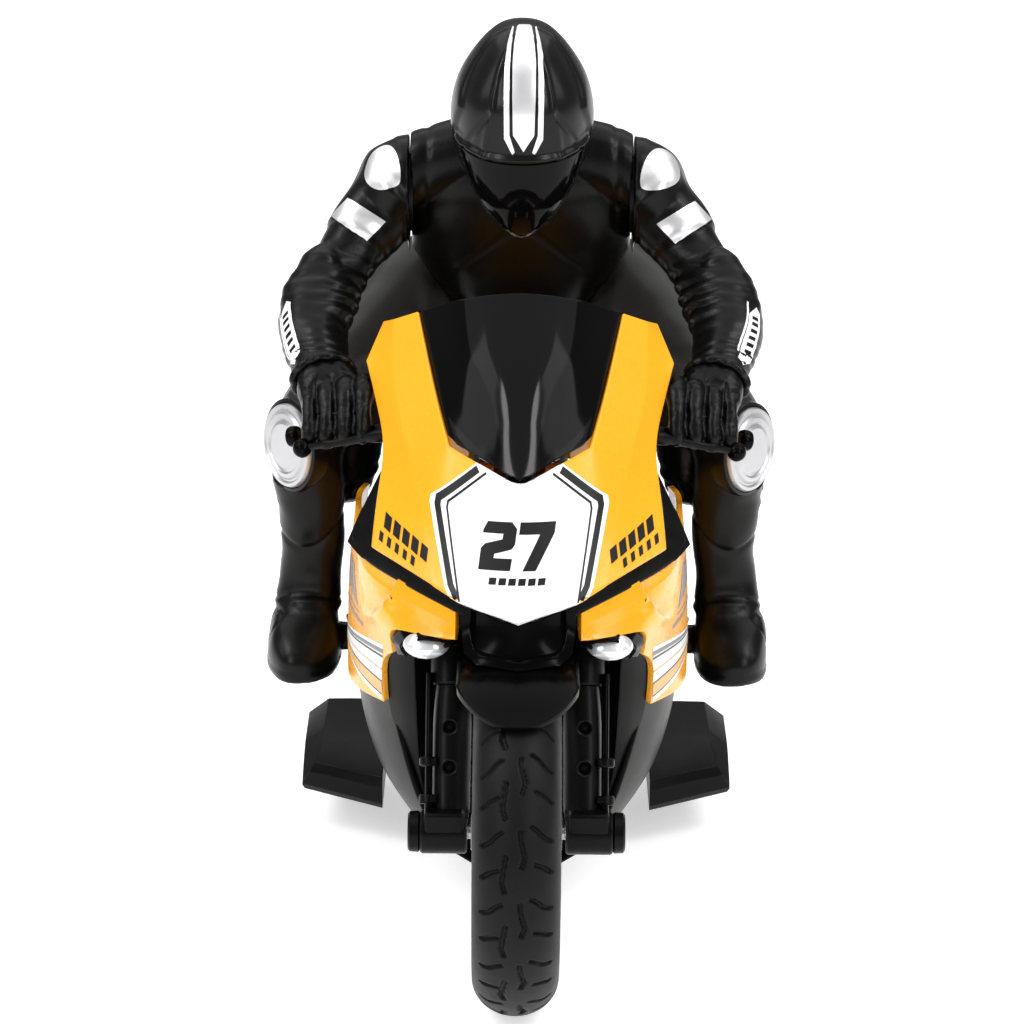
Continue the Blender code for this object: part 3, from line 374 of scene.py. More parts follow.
def rod(name, start, end, radius, mat, body=None, *nodes, sides=32, round_by=0.0, slot=None):
    """A round bar with eased ends."""
    start, end = Vector(start), Vector(end)
    along = (end - start).normalized()
    across = X_AXIS if abs(along.x) < 0.9 else Y_AXIS
    eased = [(0, radius - round_by), (round_by * 0.3, radius - round_by * 0.3), (round_by, radius)]
    rings = eased + [(-shift, r) for shift, r in eased[::-1]] if round_by else [(0, radius), (0, radius)]
    loops = []
    for k, (shift, r) in enumerate(rings):
        at = start if k < len(rings) / 2 else end
        loops.append(ring(at + along * shift, along, r, r, sides, across=across))
    return loft(name, loops, mat, body, *nodes, slot=slot)


def turned(name, profile, centre, mat, body, *nodes, sides=96, slot=None, sharp=35, axis=X_AXIS):
    """A closed (along, radius) outline turned about an axis through centre."""
    axis = Vector(axis).normalized()
    u = axis.orthogonal().normalized()
    w = axis.cross(u)
    verts = []
    for i in range(sides):
        a = 2 * math.pi * i / sides
        out = u * math.cos(a) + w * math.sin(a)
        verts += [Vector(centre) + axis * x + out * r for x, r in profile]
    faces = tube_faces(sides, len(profile), cap=False, wrap=True)
    return fixed_normals(make(name, verts, faces, mat, body, *nodes, slot=slot, sharp=sharp))


def thicken(obj, wall):
    """Gives an open sheet a wall on its inner side."""
    solidify = obj.modifiers.new("thickness", "SOLIDIFY")
    solidify.thickness = wall * MM
    solidify.offset = -1


def edge_round(obj, width, segments=3, angle=40):
    """Eases the edges that are sharper than the angle in degrees."""
    bevel = obj.modifiers.new("bevel", "BEVEL")
    bevel.width = width * MM
    bevel.segments = segments
    bevel.limit_method = "ANGLE"
    bevel.angle_limit = math.radians(angle)
    bevel.harden_normals = False
    return obj


def join(name, parts):
    """Several meshes as one object; its parts may cross."""
    verts, faces = [], []
    for part in parts:
        start = len(verts)
        verts += [tuple(p) for p in points_of(part)]
        faces += [[start + v for v in polygon.vertices] for polygon in part.data.polygons]
    mat = parts[0].data.materials[0]
    for part in parts:
        bpy.data.objects.remove(part)
    return make(name, verts, faces, mat, None, sharp=None)


def fuse(name, parts, voxel, smooth=4):
    """Parts melted into one skin."""
    obj = join(name, parts)
    remesh = obj.modifiers.new("remesh", "REMESH")
    remesh.mode = "VOXEL"
    remesh.voxel_size = voxel * MM
    remesh.use_smooth_shade = True
    if smooth:
        soften = obj.modifiers.new("soften", "SMOOTH")
        soften.factor = 0.5
        soften.iterations = smooth
    settled(obj)
    obj.data.shade_smooth()
    return obj


def sheet_mesh(name, points, faces, mirror, thickness, mat, body, *nodes, slot=None, levels=3, crease=(),
               bevel=0.25,
               core=CORE, shape=None, corners=()):
    """A moulded shell over a cage of named points: smoothed, firm at its rim and creases, thickened."""
    bm = bmesh.new()
    layer = bm.edges.layers.float.new("crease_edge")
    tips = bm.verts.layers.float.new("crease_vert")
    verts, sides = {}, ((1, -1) if mirror else (1,))
    for side in sides:
        for key, (x, y, z) in points.items():
            shared = side < 0 and abs(x) < 1e-6
            verts[side, key] = verts[1, key] if shared else bm.verts.new((side * x, y, z))
        for face in faces:
            loop = [verts[side, key] for key in face]
            bm.faces.new(loop if side > 0 else loop[::-1])
    bmesh.ops.recalc_face_normals(bm, faces=bm.faces)
    face_away(bm, core)
    firm = {frozenset(pair): value for pair, value in crease}
    names = {vert: key for (side, key), vert in verts.items()}
    for edge in bm.edges:
        edge[layer] = 1.0 if edge.is_boundary else firm.get(frozenset(names[v] for v in edge.verts), 0.0)
    for vert, key in names.items():
        vert[tips] = 1.0 if key in corners else 0.0
    bmesh.ops.scale(bm, vec=(MM, MM, MM), verts=bm.verts)
    mesh = bpy.data.meshes.new(name)
    bm.to_mesh(mesh)
    bm.free()
    mesh.materials.append(mat)
    obj = linked(name, mesh)
    subsurf = obj.modifiers.new("smooth", "SUBSURF")
    subsurf.levels = subsurf.render_levels = levels
    subsurf.use_limit_surface = False
    settled(obj)
    if shape:
        push(obj, shape)
    thicken(obj, thickness)
    edge_round(obj, bevel, 2, 60)
    settled(obj)
    obj.data.shade_smooth()
    return placed(obj, body, *nodes, slot=slot)


def surface(*objs):
    """A tree to cast rays on the pieces' finished surfaces, in mm."""
    bpy.context.view_layer.update()
    graph = bpy.context.evaluated_depsgraph_get()
    verts, faces = [], []
    for obj in objs:
        mesh = obj.evaluated_get(graph).to_mesh()
        start = len(verts)
        verts += [v.co / MM for v in mesh.vertices]
        faces += [[start + i for i in p.vertices] for p in mesh.polygons]
    return BVHTree.FromPolygons(verts, faces)


MAX_SLIDE, SLIDE_STEP = 4.0, 0.12


def decal(name, outlines, spot, heading, tree, mat, body, lift=0.05, cell=1.0, slot=None):
    """Flat outlines laid on a surface like film.

    spot(a, b) gives where a point's ray starts; heading is its way. A point whose ray misses slides up to
    MAX_SLIDE mm towards the middle, onto the surface's edge.
    """
    heading = Vector(heading).normalized()
    bm = bmesh.new()
    for outline in outlines:
        bm.faces.new([bm.verts.new((a, b, 0)) for a, b in outline])
    for axis in (0, 1):
        values = [v.co[axis] for v in bm.verts]
        for k in range(int(min(values) / cell) - 1, int(max(values) / cell) + 2):
            plane = [0, 0, 0]
            plane[axis] = k * cell
            normal = [0, 0, 0]
            normal[axis] = 1
            bmesh.ops.bisect_plane(bm, geom=bm.verts[:] + bm.edges[:] + bm.faces[:], plane_co=plane,
                                   plane_no=normal)
    lost = []
    middle = sum((vert.co for vert in bm.verts), Vector()) / len(bm.verts)
    for vert in bm.verts:
        way = middle - vert.co
        reach = min(way.length, MAX_SLIDE)
        hit, slid = None, 0.0
        while hit is None and slid <= reach:
            p = vert.co + way.normalized() * slid
            hit, normal, _, _ = tree.ray_cast(Vector(spot(p.x, p.y)), heading, 400)
            slid += SLIDE_STEP
        if hit is None:
            lost.append(vert)
            continue
        if normal.dot(heading) > 0:
            normal = -normal
        vert.co = (hit + normal * lift) * MM
    bmesh.ops.delete(bm, geom=lost, context="VERTS")
    mesh = bpy.data.meshes.new(name)
    bm.to_mesh(mesh)
    bm.free()
    mesh.materials.append(mat)
    mesh.shade_smooth()
    return placed(linked(name, mesh), body, slot=slot)


def stroke(path, width):
    """The outline of a line of even width through the path, with mitred corners."""
    path = [Vector(p) for p in path]
    left, right = [], []
    for i, p in enumerate(path):
        ways = []
        if i:
            ways.append((p - path[i - 1]).normalized())
        if i < len(path) - 1:
            ways.append((path[i + 1] - p).normalized())
        way = sum(ways, Vector((0, 0))).normalized()
        side = Vector((-way.y, way.x))
        reach = width / 2 / max(0.5, abs(side.dot(Vector((-ways[0].y, ways[0].x)))))
        left.append(tuple(p + side * reach))
        right.append(tuple(p - side * reach))
    return left + right[::-1]


def flipped(side, p):
    return Vector((side * p[0], p[1], p[2]))


def mirrored(outline):
    return [(-a, b) for a, b in outline]


def wave_noise(points, size, seed=0.0):
    return np.array([noise.noise(Vector(p) / size + Vector((seed, seed, seed))) for p in points])


def from_front(a, b):
    return (a, -200, b)


# ---------------------------------------------------------------- wheels

def groove_depth(along, across, width):
    """How deep the tread is cut at places along and across a tyre whose half width is given."""
    pitch = 2 * math.pi * WHEEL_RADIUS / 16
    k = width / 9.0
    lines = []
    for offset, path in ((0.0, ((0.8, 0), (1.0, 2.5), (1.8, 5.2), (1.1, 7.2))),
                         (pitch * 0.34, ((-2.2, 0), (-2.6, 2.5), (-3.0, 5.2), (-2.4, 7.2)))):
        lines.append((offset, path, 0.48))
    for start, flip in ((1.6, -1), (8.9, -1), (0.4, 1), (7.6, 1)):
        long = start in (1.6, 0.4)
        path = ((3.0, -1.4), (4.3, -0.6), (5.4, 0.6), (6.9, 1.4)) if long else ((3.8, -0.9), (5.4, -0.3),
                                                                                (6.9, 0.9))
        lines.append((start, tuple((flip * x, y) for x, y in path), 0.42))
    depth = np.zeros_like(across)
    for offset, path, half in lines:
        for (x0, y0), (x1, y1) in zip(path, path[1:]):
            a = np.array((x0 * k, y0))
            d = np.array((x1 * k, y1)) - a
            local = (along - offset - y0 + pitch / 2) % pitch - pitch / 2 + y0
            px, py = across - a[0], local - a[1]
            t = np.clip((px * d[0] + py * d[1]) / (d @ d), 0, 1)
            gap = np.hypot(px - t * d[0], py - t * d[1])
            cut = np.clip((half + 0.1 - gap) / 0.2, 0, 1)
            depth = np.maximum(depth, cut * cut * (3 - 2 * cut))
    return depth * 0.85


def tyre(name, centre, half, body):
    """A tyre with a round crown, cut tread, a raised ring on each wall and a bead lip."""
    around, arc = 1300, 104
    reach = math.radians(90)
    crown = [(half * math.sin(t), WHEEL_RADIUS - 8.0 * (1 - math.cos(t))) for t in np.linspace(-reach, reach,
                                                                                               arc)]
    wall = [(half * 0.995, 29.4), (half * 0.96, 28.6), (half * 0.97, 28.2), (half * 0.9, 27.6),
            (half * 0.8, 27.4)]
    profile = crown + wall + [(-x, r) for x, r in wall[::-1]]
    count = len(profile)
    angle = np.arange(around) * 2 * math.pi / around
    x = np.array([p[0] for p in profile])
    r = np.array([p[1] for p in profile])
    along = np.repeat(angle * WHEEL_RADIUS, count).reshape(around, count)
    across = np.tile(x, (around, 1))
    radius = np.tile(r, (around, 1))
    cut = groove_depth(along, across, half)
    cut[:, arc:] = 0
    out_x = np.tile(np.sin(np.clip(np.arcsin(np.clip(x / half, -1, 1)), -1.5, 1.5)), (around, 1))
    radius = radius - cut * np.sqrt(1 - np.clip(out_x, -0.95, 0.95) ** 2)
    across = across - cut * out_x * 0.6
    verts = np.stack([across + centre[0], centre[1] - radius * np.sin(angle)[:, None],
                      centre[2] + radius * np.cos(angle)[:, None]], -1).reshape(-1, 3)
    obj = make(name, verts, tube_faces(around, count, False, True), M["rubber"], body, name,
               slot="tyre_rubber",
               sharp=None)
    return fixed_normals(obj)


def rim(name, centre, half, hub_half, body):
    """A five-spoke wheel with a rolled lip, dished spokes and a hub cap."""
    inner = RIM_RADIUS - 2.2
    lip = [(-half, RIM_RADIUS - 0.1), (half, RIM_RADIUS - 0.1), (half + 0.25, RIM_RADIUS - 0.9),
           (half - 0.1, inner - 0.4),
           (half - 1.2, inner), (0, inner + 0.4), (-half + 1.2, inner), (-half + 0.1, inner - 0.4),
           (-half - 0.25, RIM_RADIUS - 0.9)]
    turned(name, lip, centre, M["rim"], body, name, sides=120, slot="silver_paint")
    hub = [(-hub_half, 1.7), (-hub_half, 3.6), (-hub_half + 0.8, 4.8), (-2, 5.4), (2, 5.4),
           (hub_half - 0.8, 4.8),
           (hub_half, 3.6), (hub_half, 1.7)]
    turned(name + "_hub", hub, centre, M["rim"], body, sides=64, slot="silver_paint")
    for k in range(5):
        a = 2 * math.pi * k / 5
        way = Vector((0, math.cos(a), math.sin(a)))
        rings = []
        for reach, wide, thick in ((4.2, 3.4, 2.2), (9, 2.4, 1.9), (15, 2.0, 1.6), (21, 2.6, 1.6),
                                   (inner + 0.2, 4.2, 1.8)):
            turn = way.cross(X_AXIS)
            middle = Vector(centre) + way * reach
            rings.append([middle + turn * (wide * c) + X_AXIS * (thick * s) for c, s in
                          ((-1, -0.4), (-0.7, -1), (0.7, -1), (1, -0.4), (1, 0.4), (0.7, 1), (-0.7, 1),
                           (-1, 0.4))])
        edge_round(loft(f"{name}_spoke_{k}", rings, M["rim"], body, slot="silver_paint"), 0.35, 2, 30)


# ---------------------------------------------------------------- helmet

HELMET_SECTIONS = ((18.95, -0.6, 3.8, 5.0), (17.2, -0.4, 6.9, 9.6), (13.0, 0, 10.6, 14.0),
                   (7.0, 0, 14.0, 17.4),
                   (0.5, 0, 15.5, 18.5), (-6.0, 0.6, 15.1, 18.3), (-11.5, 2.2, 13.6, 17.2),
                   (-16.5, 4.2, 11.3, 15.0),
                   (-21.0, 6.2, 8.2, 12.0), (-23.6, 7.6, 4.6, 9.0))
BROW = -4.6


def face_edge(height):
    """The half angle that the face opening has at a height, or less than nothing above and below it."""
    table = ((-23.2, 0), (-21.5, 24), (-17, 44), (-12, 56), (-7, 63), (BROW, 66))
    return np.interp(height, [t[0] for t in table], [t[1] for t in table])


def on_head(height, sideways, ahead):
    return HELMET_CENTRE + HELMET_UP * height + X_AXIS * sideways + HELMET_FORWARD * ahead


def head_bend(value):
    """A cosine or sine drawn out a little, for a head that is squarer than an ellipse."""
    return math.copysign(abs(value) ** 0.93, value)


def helmet_shell():
    """The full-face shell: dense rings with a recessed face opening, side ridges and top vents."""
    rows = spline(HELMET_SECTIONS, 130)
    top = rows[0].copy()
    rows = np.vstack([[top[0] + 0.25, top[1], 2.6, 3.2], [top[0] + 0.36, top[1], 1.0, 1.3]][::-1] + [rows])
    count = 160
    verts = []
    for height, shift, width, depth in rows:
        for i in range(count):
            a = 2 * math.pi * i / count
            x, f = math.sin(a), math.cos(a)
            degrees = math.degrees(abs(math.atan2(x, f)))
            inside = min((face_edge(height) - degrees) / 2.2, (BROW - height) / 0.7, (height + 23.2) / 0.7)
            recess = -1.3 * min(1, max(0, inside)) if inside > 0 else 0.35 * max(0, 1 + inside / 2.2)
            side = 0.8 / (1 + math.exp(-(degrees - 64 - 1.5 * abs(height - 4)) / 1.1))
            crest = 0.5 * math.exp(-((degrees - 27 - 0.5 * abs(height - 6)) / 3.0) ** 2) * (height > BROW)
            vent = -0.5 * math.exp(-(((degrees - 40) * 0.35 + height - 1.5) / 0.8) ** 2) * (28 < degrees < 58)
            lip = 0.7 * math.exp(-((height - BROW - 0.9) / 0.75) ** 2) * (degrees < 74)
            grow = recess + side + crest + vent + lip - 0.45
            ahead = shift + (depth + grow) * head_bend(f)
            verts.append(on_head(height, (width + grow) * head_bend(x), ahead))
    return fixed_normals(make("helmet_shell", verts, tube_faces(len(rows), count), M["helmet"], "frame",
                              "helmet",
                              slot="gloss_black_plastic", sharp=50))


def helmet_visor():
    rows = spline(HELMET_SECTIONS, 240)
    rows = [r for r in rows if BROW - 0.25 > r[0] > -22.9]
    count, inset = 72, 0.15
    verts = []
    for height, shift, width, depth in rows[::2]:
        edge = math.radians(max(face_edge(height) - 0.8, 1.0))
        for k in range(count):
            a = edge * (2 * k / (count - 1) - 1)
            x, f = math.sin(a), math.cos(a)
            ahead = shift + (depth - inset) * head_bend(f)
            verts.append(on_head(height, (width - inset) * head_bend(x), ahead))
    faces = grid_faces(len(verts) // count, count)
    obj = make("visor_shield", verts, faces, M["smoke"], "frame", "visor", slot="smoked_screen", sharp=None)
    outward(obj, HELMET_CENTRE)
    thicken(obj, 0.7)
    edge_round(obj, 0.15, 2, 60)


def helmet():
    shell = helmet_shell()
    helmet_visor()
    tree = surface(shell)
    centre = [(-0.9, 12.8), (1.5, 12.8), (1.9, 12.0), (2.5, 6), (2.8, 0), (2.8, -7), (2.6, -13.2),
              (0.3, -15.8),
              (-2.0, -13.2), (-2.2, -7), (-2.2, 0), (-1.9, 6), (-1.3, 12.0)]
    left = [(2.6, 11.8), (2.9, 12.2), (3.7, 7.5), (4.3, 3), (4.6, -3), (4.6, -9), (4.5, -13.6), (2.7, -16.2),
            (2.2, -15.8), (3.35, -13.2), (3.45, -7), (3.4, 0), (3.05, 6)]
    ahead, above = math.cos(math.radians(40)), math.sin(math.radians(40))
    way, rise = Vector((0, ahead, -above)), Vector((0, above, ahead))
    start = HELMET_CENTRE - way * 60
    spot = lambda a, b: start + X_AXIS * a + rise * b
    decal("helmet_stripes", [centre, left, [(0.6 - a, b) for a, b in left]], spot, way, tree, M["silver"],
          "frame", lift=0.16, slot="silver_paint", cell=0.6)


# ---------------------------------------------------------------- rider

def narrowed(points, half):
    """The points held within half to each side."""
    for p in points:
        p.x = max(-half, min(half, p.x))
    return points


def torso():
    """Chest and back: a leaning trunk with rounded shoulders, cut flat where the arms pivot."""
    lean = Vector((0, -0.5, 0.866))
    stations = ((44.5, 113.6, 14.0, 11.0), (39, 122.5, 17.0, 12.2), (33.5, 131, 22.0, 13.0),
                (28, 140, 26.5, 13.5),
                (22.5, 149, 28.5, 13.5), (18, 156.5, 26.5, 12), (15.0, 162.0, 20, 8), (13.5, 163.6, 12, 5))
    rings = []
    for y, z, w, d in spline(stations, 90):
        rings.append(narrowed(ring((0, y, z), lean, w, d, 96, 2.5), SHOULDER_X))
    body = loft("rider_torso_skin", rings, M["suit"], None, sharp=None)
    collar = turned("collar", [(-1.6, 12.2), (0.4, 12.8), (1.2, 12.0), (0.6, 10.8), (-1.6, 10.8)],
                    HELMET_CENTRE + HELMET_UP * -14 + HELMET_FORWARD * -1.0, M["suit"], None, axis=HELMET_UP)
    bar = [(-SHOULDER_X, 15.2, 155.2, 7.6, 8.0), (-16, 15.6, 158.6, 7.6, 8.4), (0, 16.2, 160.4, 7.6, 8.4),
           (16, 15.6, 158.6, 7.6, 8.4), (SHOULDER_X, 15.2, 155.2, 7.6, 8.0)]
    shoulders = limb("shoulders", bar, M["suit"], None, 56, 60, across=Y_AXIS, ends=(X_AXIS, X_AXIS))
    skin = fuse("rider_torso_skin_1", [body, shoulders, collar], 0.5, 2)
    points = points_of(skin)
    points[:, 0] = np.clip(points[:, 0], -25.05, 25.05)
    set_points(skin, points)

    def folds(points):
        x, y, z = points.T
        front = np.clip((24 - y) / 14, 0, 1)
        vee = np.exp(-((np.abs(x) * 0.75 + (z - 146) * 0.9 + 1.5) / 1.1) ** 2) * front
        seam = np.exp(-((np.abs(x) - 21.5) / 0.9) ** 2) * np.clip((z - 140) / 10, 0, 1)
        soft = wave_noise(points, 9.0) * 0.45
        return -0.45 * vee - 0.3 * seam + soft * np.clip((25 - np.abs(x)) / 4, 0, 1)

    push(skin, folds)
    placed(skin, "frame", "rider_torso", slot="suit_black")
    rings = []
    for y, z, w, d, way in ((45, 100.9, 11, 9, (0, 0, 1)), (46, 105, 14.5, 11.0, (0, -0.2, 0.98)),
                            (44.8, 113.1, 15.5, 11.0, (0, -0.5, 0.866))):
        rings.append(narrowed(ring((0, y, z), way, w, d, 64, 2.8), HIP_X))
    edge_round(loft("rider_hips_skin", rings, M["suit"], "frame", "rider_hips", slot="suit_black"), 0.8, 3,
               30)


GRIP_INNER, GRIP_OUTER = Vector((12.0, -47.1, 113.9)), Vector((49.2, -30.6, 106.0))
GRIP_ALONG = (GRIP_OUTER - GRIP_INNER).normalized()


def on_grip(x):
    return GRIP_INNER + GRIP_ALONG * ((x - GRIP_INNER.x) / GRIP_ALONG.x)


def capsules(name, path, mat, count=20):
    """A rounded chain through (point, radius) pairs."""
    samples, thinnest = 26, 0.03
    rows = spline([(*p, r) for p, r in path], samples)
    rings = []

    def cap(row, way, sign, shrinks):
        for t in shrinks:
            r = max(row[3] * (1 - t), thinnest)
            rings.append(ring(Vector(row[:3]) + way * sign * row[3] * math.sqrt(1 - (1 - t) ** 2), way, r, r,
                              count))

    cap(rows[0], Vector(rows[1][:3] - rows[0][:3]).normalized(), -1, (1.0, 0.9, 0.6, 0.3))
    for i, row in enumerate(rows):
        way = Vector(rows[min(i + 1, samples - 1)][:3] - rows[max(i - 1, 0)][:3])
        rings.append(ring(row[:3], way, row[3], row[3], count))
    cap(rows[-1], Vector(rows[-1][:3] - rows[-2][:3]).normalized(), 1, (0.3, 0.6, 0.9, 1.0))
    return loft(name, rings, mat, None)


def arm(side, word):
    """Sleeve with elbow and wrist folds, the shoulder cut flat; the glove is its own piece."""
    body = f"arm_{word}"
    stations = ((25.4, 14.5, 150.6, 10.2, 13.2), (28.2, 14.2, 149.8, 9.8, 11.9), (31.4, 13, 147.2, 8.8, 9.0),
                (35.0, 10.6, 143.2, 8.0, 8.4), (37.2, 8.8, 140.2, 7.0, 7.3), (41.2, 3.5, 134.6, 6.7, 7.0),
                (44.8, -4, 129.5, 8.2, 8.2),
                (45.9, -12, 124.6, 8.0, 7.7), (44.2, -20, 120.2, 6.5, 6.3), (43, -25.5, 117.6, 5.4, 5.4))
    sleeve = limb("sleeve", [(side * x, y, z, w, d) for x, y, z, w, d in stations], M["suit"], None, 64, 90,
                  across=Y_AXIS, ends=(X_AXIS * side, None))
    liner = [ring(flipped(side, (x, 14.5, 150.6)), X_AXIS, 7.6, 8.6, 64, 2.3, Y_AXIS) for x in (24.4, 26.2)]
    loft(f"shoulder_joint_{word}", liner, M["suit"], body, slot="suit_black")
    elbow = capsules("elbow", [(flipped(side, (44.2, 0.4, 136.2)), 5.6),
                               (flipped(side, (47.9, -6.5, 130.6)), 5.4),
                               (flipped(side, (49.0, -13.0, 126.4)), 4.2)], M["suit"], 32)
    strap_way = Vector(flipped(side, (4.2, -4.6, -6.2)))
    strap = turned("strap", [(-2.6, 6), (-2.6, 7.7), (-1.9, 8.2), (1.9, 8.0), (2.6, 7.4), (2.6, 6)],
                   flipped(side, (36.0, 9.8, 142.2)), M["suit"], None, sides=72, axis=strap_way)
    cup = capsules("cup", [(flipped(side, (28.6, 12.0, 151.6)), 8.8),
                           (flipped(side, (32.0, 11.4, 147.6)), 7.2)],
                   M["suit"], 40)
    skin = fuse(f"arm_{word}_sleeve", [sleeve, elbow, strap, cup], 0.5, 3)

    def folds(points):
        x, y, z = points.T
        x = x * side
        along = (15 - y) * 0.62 + (150 - z) * 0.78
        near_elbow = np.exp(-((along - 27) / 7.5) ** 2)
        inner = np.clip((46 - x) / 6, 0, 1) + 0.25
        creases = np.sin(along * 1.75 + 1.2 * wave_noise(points, 5.0, side)) * near_elbow * inner * 0.38
        wrist = np.sin(along * 2.6 + wave_noise(points, 4.0,
                                                2 + side) * 2) * np.exp(-((along - 47) / 6) ** 2) * 0.16
        soft = wave_noise(points, 7.0, 5.0 * side) * 0.5
        return (creases + wrist + soft) * np.clip((x - 26.5) / 3, 0, 1)

    push(skin, folds)
    points = points_of(skin)
    points[:, 0] = side * np.maximum(points[:, 0] * side, 25.25)
    set_points(skin, points)
    placed(skin, body, f"arm_{word}", slot="suit_black")
    tree = surface(skin)

    pad = [(math.cos(t), math.sin(t)) for t in np.linspace(0, 2 * math.pi, 40, endpoint=False)]
    pad_way = Vector((-0.30 * side, 0.62, -0.72)).normalized()
    pad_u = Vector((side * 0.62, 0.0, -0.30)).normalized()
    pad_u = (pad_u - pad_way * pad_u.dot(pad_way)).normalized()
    pad_w = pad_way.cross(pad_u)
    pad_at = flipped(side, (31.0, 8.0, 157.0))
    decal(f"shoulder_pad_{word}", [[(4.3 * a - 0.5 * b, 5.6 * b * (1 - 0.22 * a)) for a, b in pad]],
          lambda a, b: pad_at - pad_way * 40 + pad_u * a + pad_w * b, pad_way, tree, M["silver"], body,
          lift=0.35,
          slot="silver_paint", cell=0.7)
    view_way = Vector((0, 0.954, -0.301))
    view_up = Vector((0, 0.301, 0.954))
    flat = lambda a, b: Vector((a, 0, 0)) + view_up * b - view_way * 120
    band = [(38.8, 145.8), (42.6, 141.9), (34.6, 136.2), (30.4, 140.6)]
    decal(f"arm_band_{word}", [[(side * a, b) for a, b in band]], flat, view_way, tree, M["silver"], body,
          lift=0.4, slot="silver_paint", cell=0.8)
    out_way = Vector((-0.62 * side, 0.74, -0.26)).normalized()
    tag_at = flipped(side, (50.4, -17.6, 126.4))
    tag_u = Vector((0.30 * side, 0.62, 0.66))
    tag_u = (tag_u - out_way * tag_u.dot(out_way)).normalized()
    tag_w = out_way.cross(tag_u)
    on_tag = lambda a, b: tag_at - out_way * 30 + tag_u * a + tag_w * b
    decal(f"forearm_tag_{word}", [[(-8.4, -0.6), (-7.4, -2.2), (4.4, -2.0), (7.6, 0.4), (6.6, 1.7),
                                   (-6.4, 1.9)]], on_tag,
          out_way, tree, M["white"], body, slot="silver_paint", cell=0.8)
    bars = [[(x, -1.1), (x + 0.9, -1.1), (x + 1.4, 0.9), (x + 0.5, 0.9)] for x in (-5.4, -3.6, -1.8, 0.0, 1.8,
                                                                                   3.4)]
    decal(f"forearm_bars_{word}", bars, on_tag, out_way, tree, M["ink"], body, lift=0.1, cell=0.8)
    decal(f"forearm_lines_{word}", [stroke([(-6.0, -2.7), (7.4, -2.3)], 0.45)], on_tag, out_way, tree,
          M["white"], body, cell=0.8)

    fingers = []
    for x, size in ((33.8, 2.0), (37.7, 2.15), (41.7, 2.15), (45.5, 1.95)):
        g = on_grip(x)
        fingers.append(capsules("finger", [(flipped(side, g + Vector((0.5, 7.2, 9.6))), size * 0.85),
                                           (flipped(side, g + Vector((0, 2.0, 8.7))), size * 1.2),
                                           (flipped(side, g + Vector((0, -1.8, 5.9))), size * 0.92),
                                           (flipped(side, g + Vector((0, -4.3, 2.2))), size * 0.96),
                                           (flipped(side, g + Vector((0.1, -4.7, 0.2))), size * 0.86)],
                                M["glove"]))
    palm = limb("palm", [(side * x, y, z, w, d) for x, y, z, w, d in
                         ((43.0, -24.2, 118.2, 5.7, 5.4), (42.0, -27.5, 117.0, 6.9, 4.6),
                          (40.4, -30.6, 115.0, 7.6, 3.2),
                          (39.8, -32.6, 113.4, 7.4, 2.2))], M["glove"], None, 40, 20, across=X_AXIS)
    glove = fuse(f"glove_{word}_skin", fingers + [palm], 0.34, 1)

    def knuckles(points):
        x, _, z = points.T
        soft = wave_noise(points, 2.6, 3.0) * 0.22 + wave_noise(points, 1.2, 8.0) * 0.12
        x = x * side
        ribs = sum(np.exp(-((x - c - (z - 113) * 0.10) / 0.42) ** 2) for c in (35.6, 39.8, 43.9))
        top = np.clip((z - 108) / 4, 0, 1) * np.clip((119.5 - z) / 2, 0, 1)
        return soft - 0.55 * ribs * top

    push(glove, knuckles)
    placed(glove, body, slot="suit_black")
    centre = Vector(flipped(side, (43.1, -24.8, 118.0)))
    way = Vector(flipped(side, (-1.4, -5.2, -2.7))).normalized()
    across = (X_AXIS - way * X_AXIS.dot(way)).normalized()
    up = way.cross(across)
    rings = []
    for k in range(140):
        a = 2 * math.pi * k / 140
        ruffle = 0.45 * math.sin(11 * a + 0.6 * math.sin(3 * a))
        out = across * math.cos(a) * 1.12 + up * math.sin(a)
        rings.append([centre + out * (5.9 + 0.25 * ruffle + 0.85 * math.cos(t))
                      + way * (0.9 * math.sin(t) + 0.5 * ruffle)
                      for t in np.linspace(0, 2 * math.pi, 14, endpoint=False)])
    cuff = make(f"glove_{word}_cuff", [p for r in rings for p in r], tube_faces(140, 14, False, True),
                M["glove"], body,
                slot="suit_black", sharp=None)
    fixed_normals(cuff)


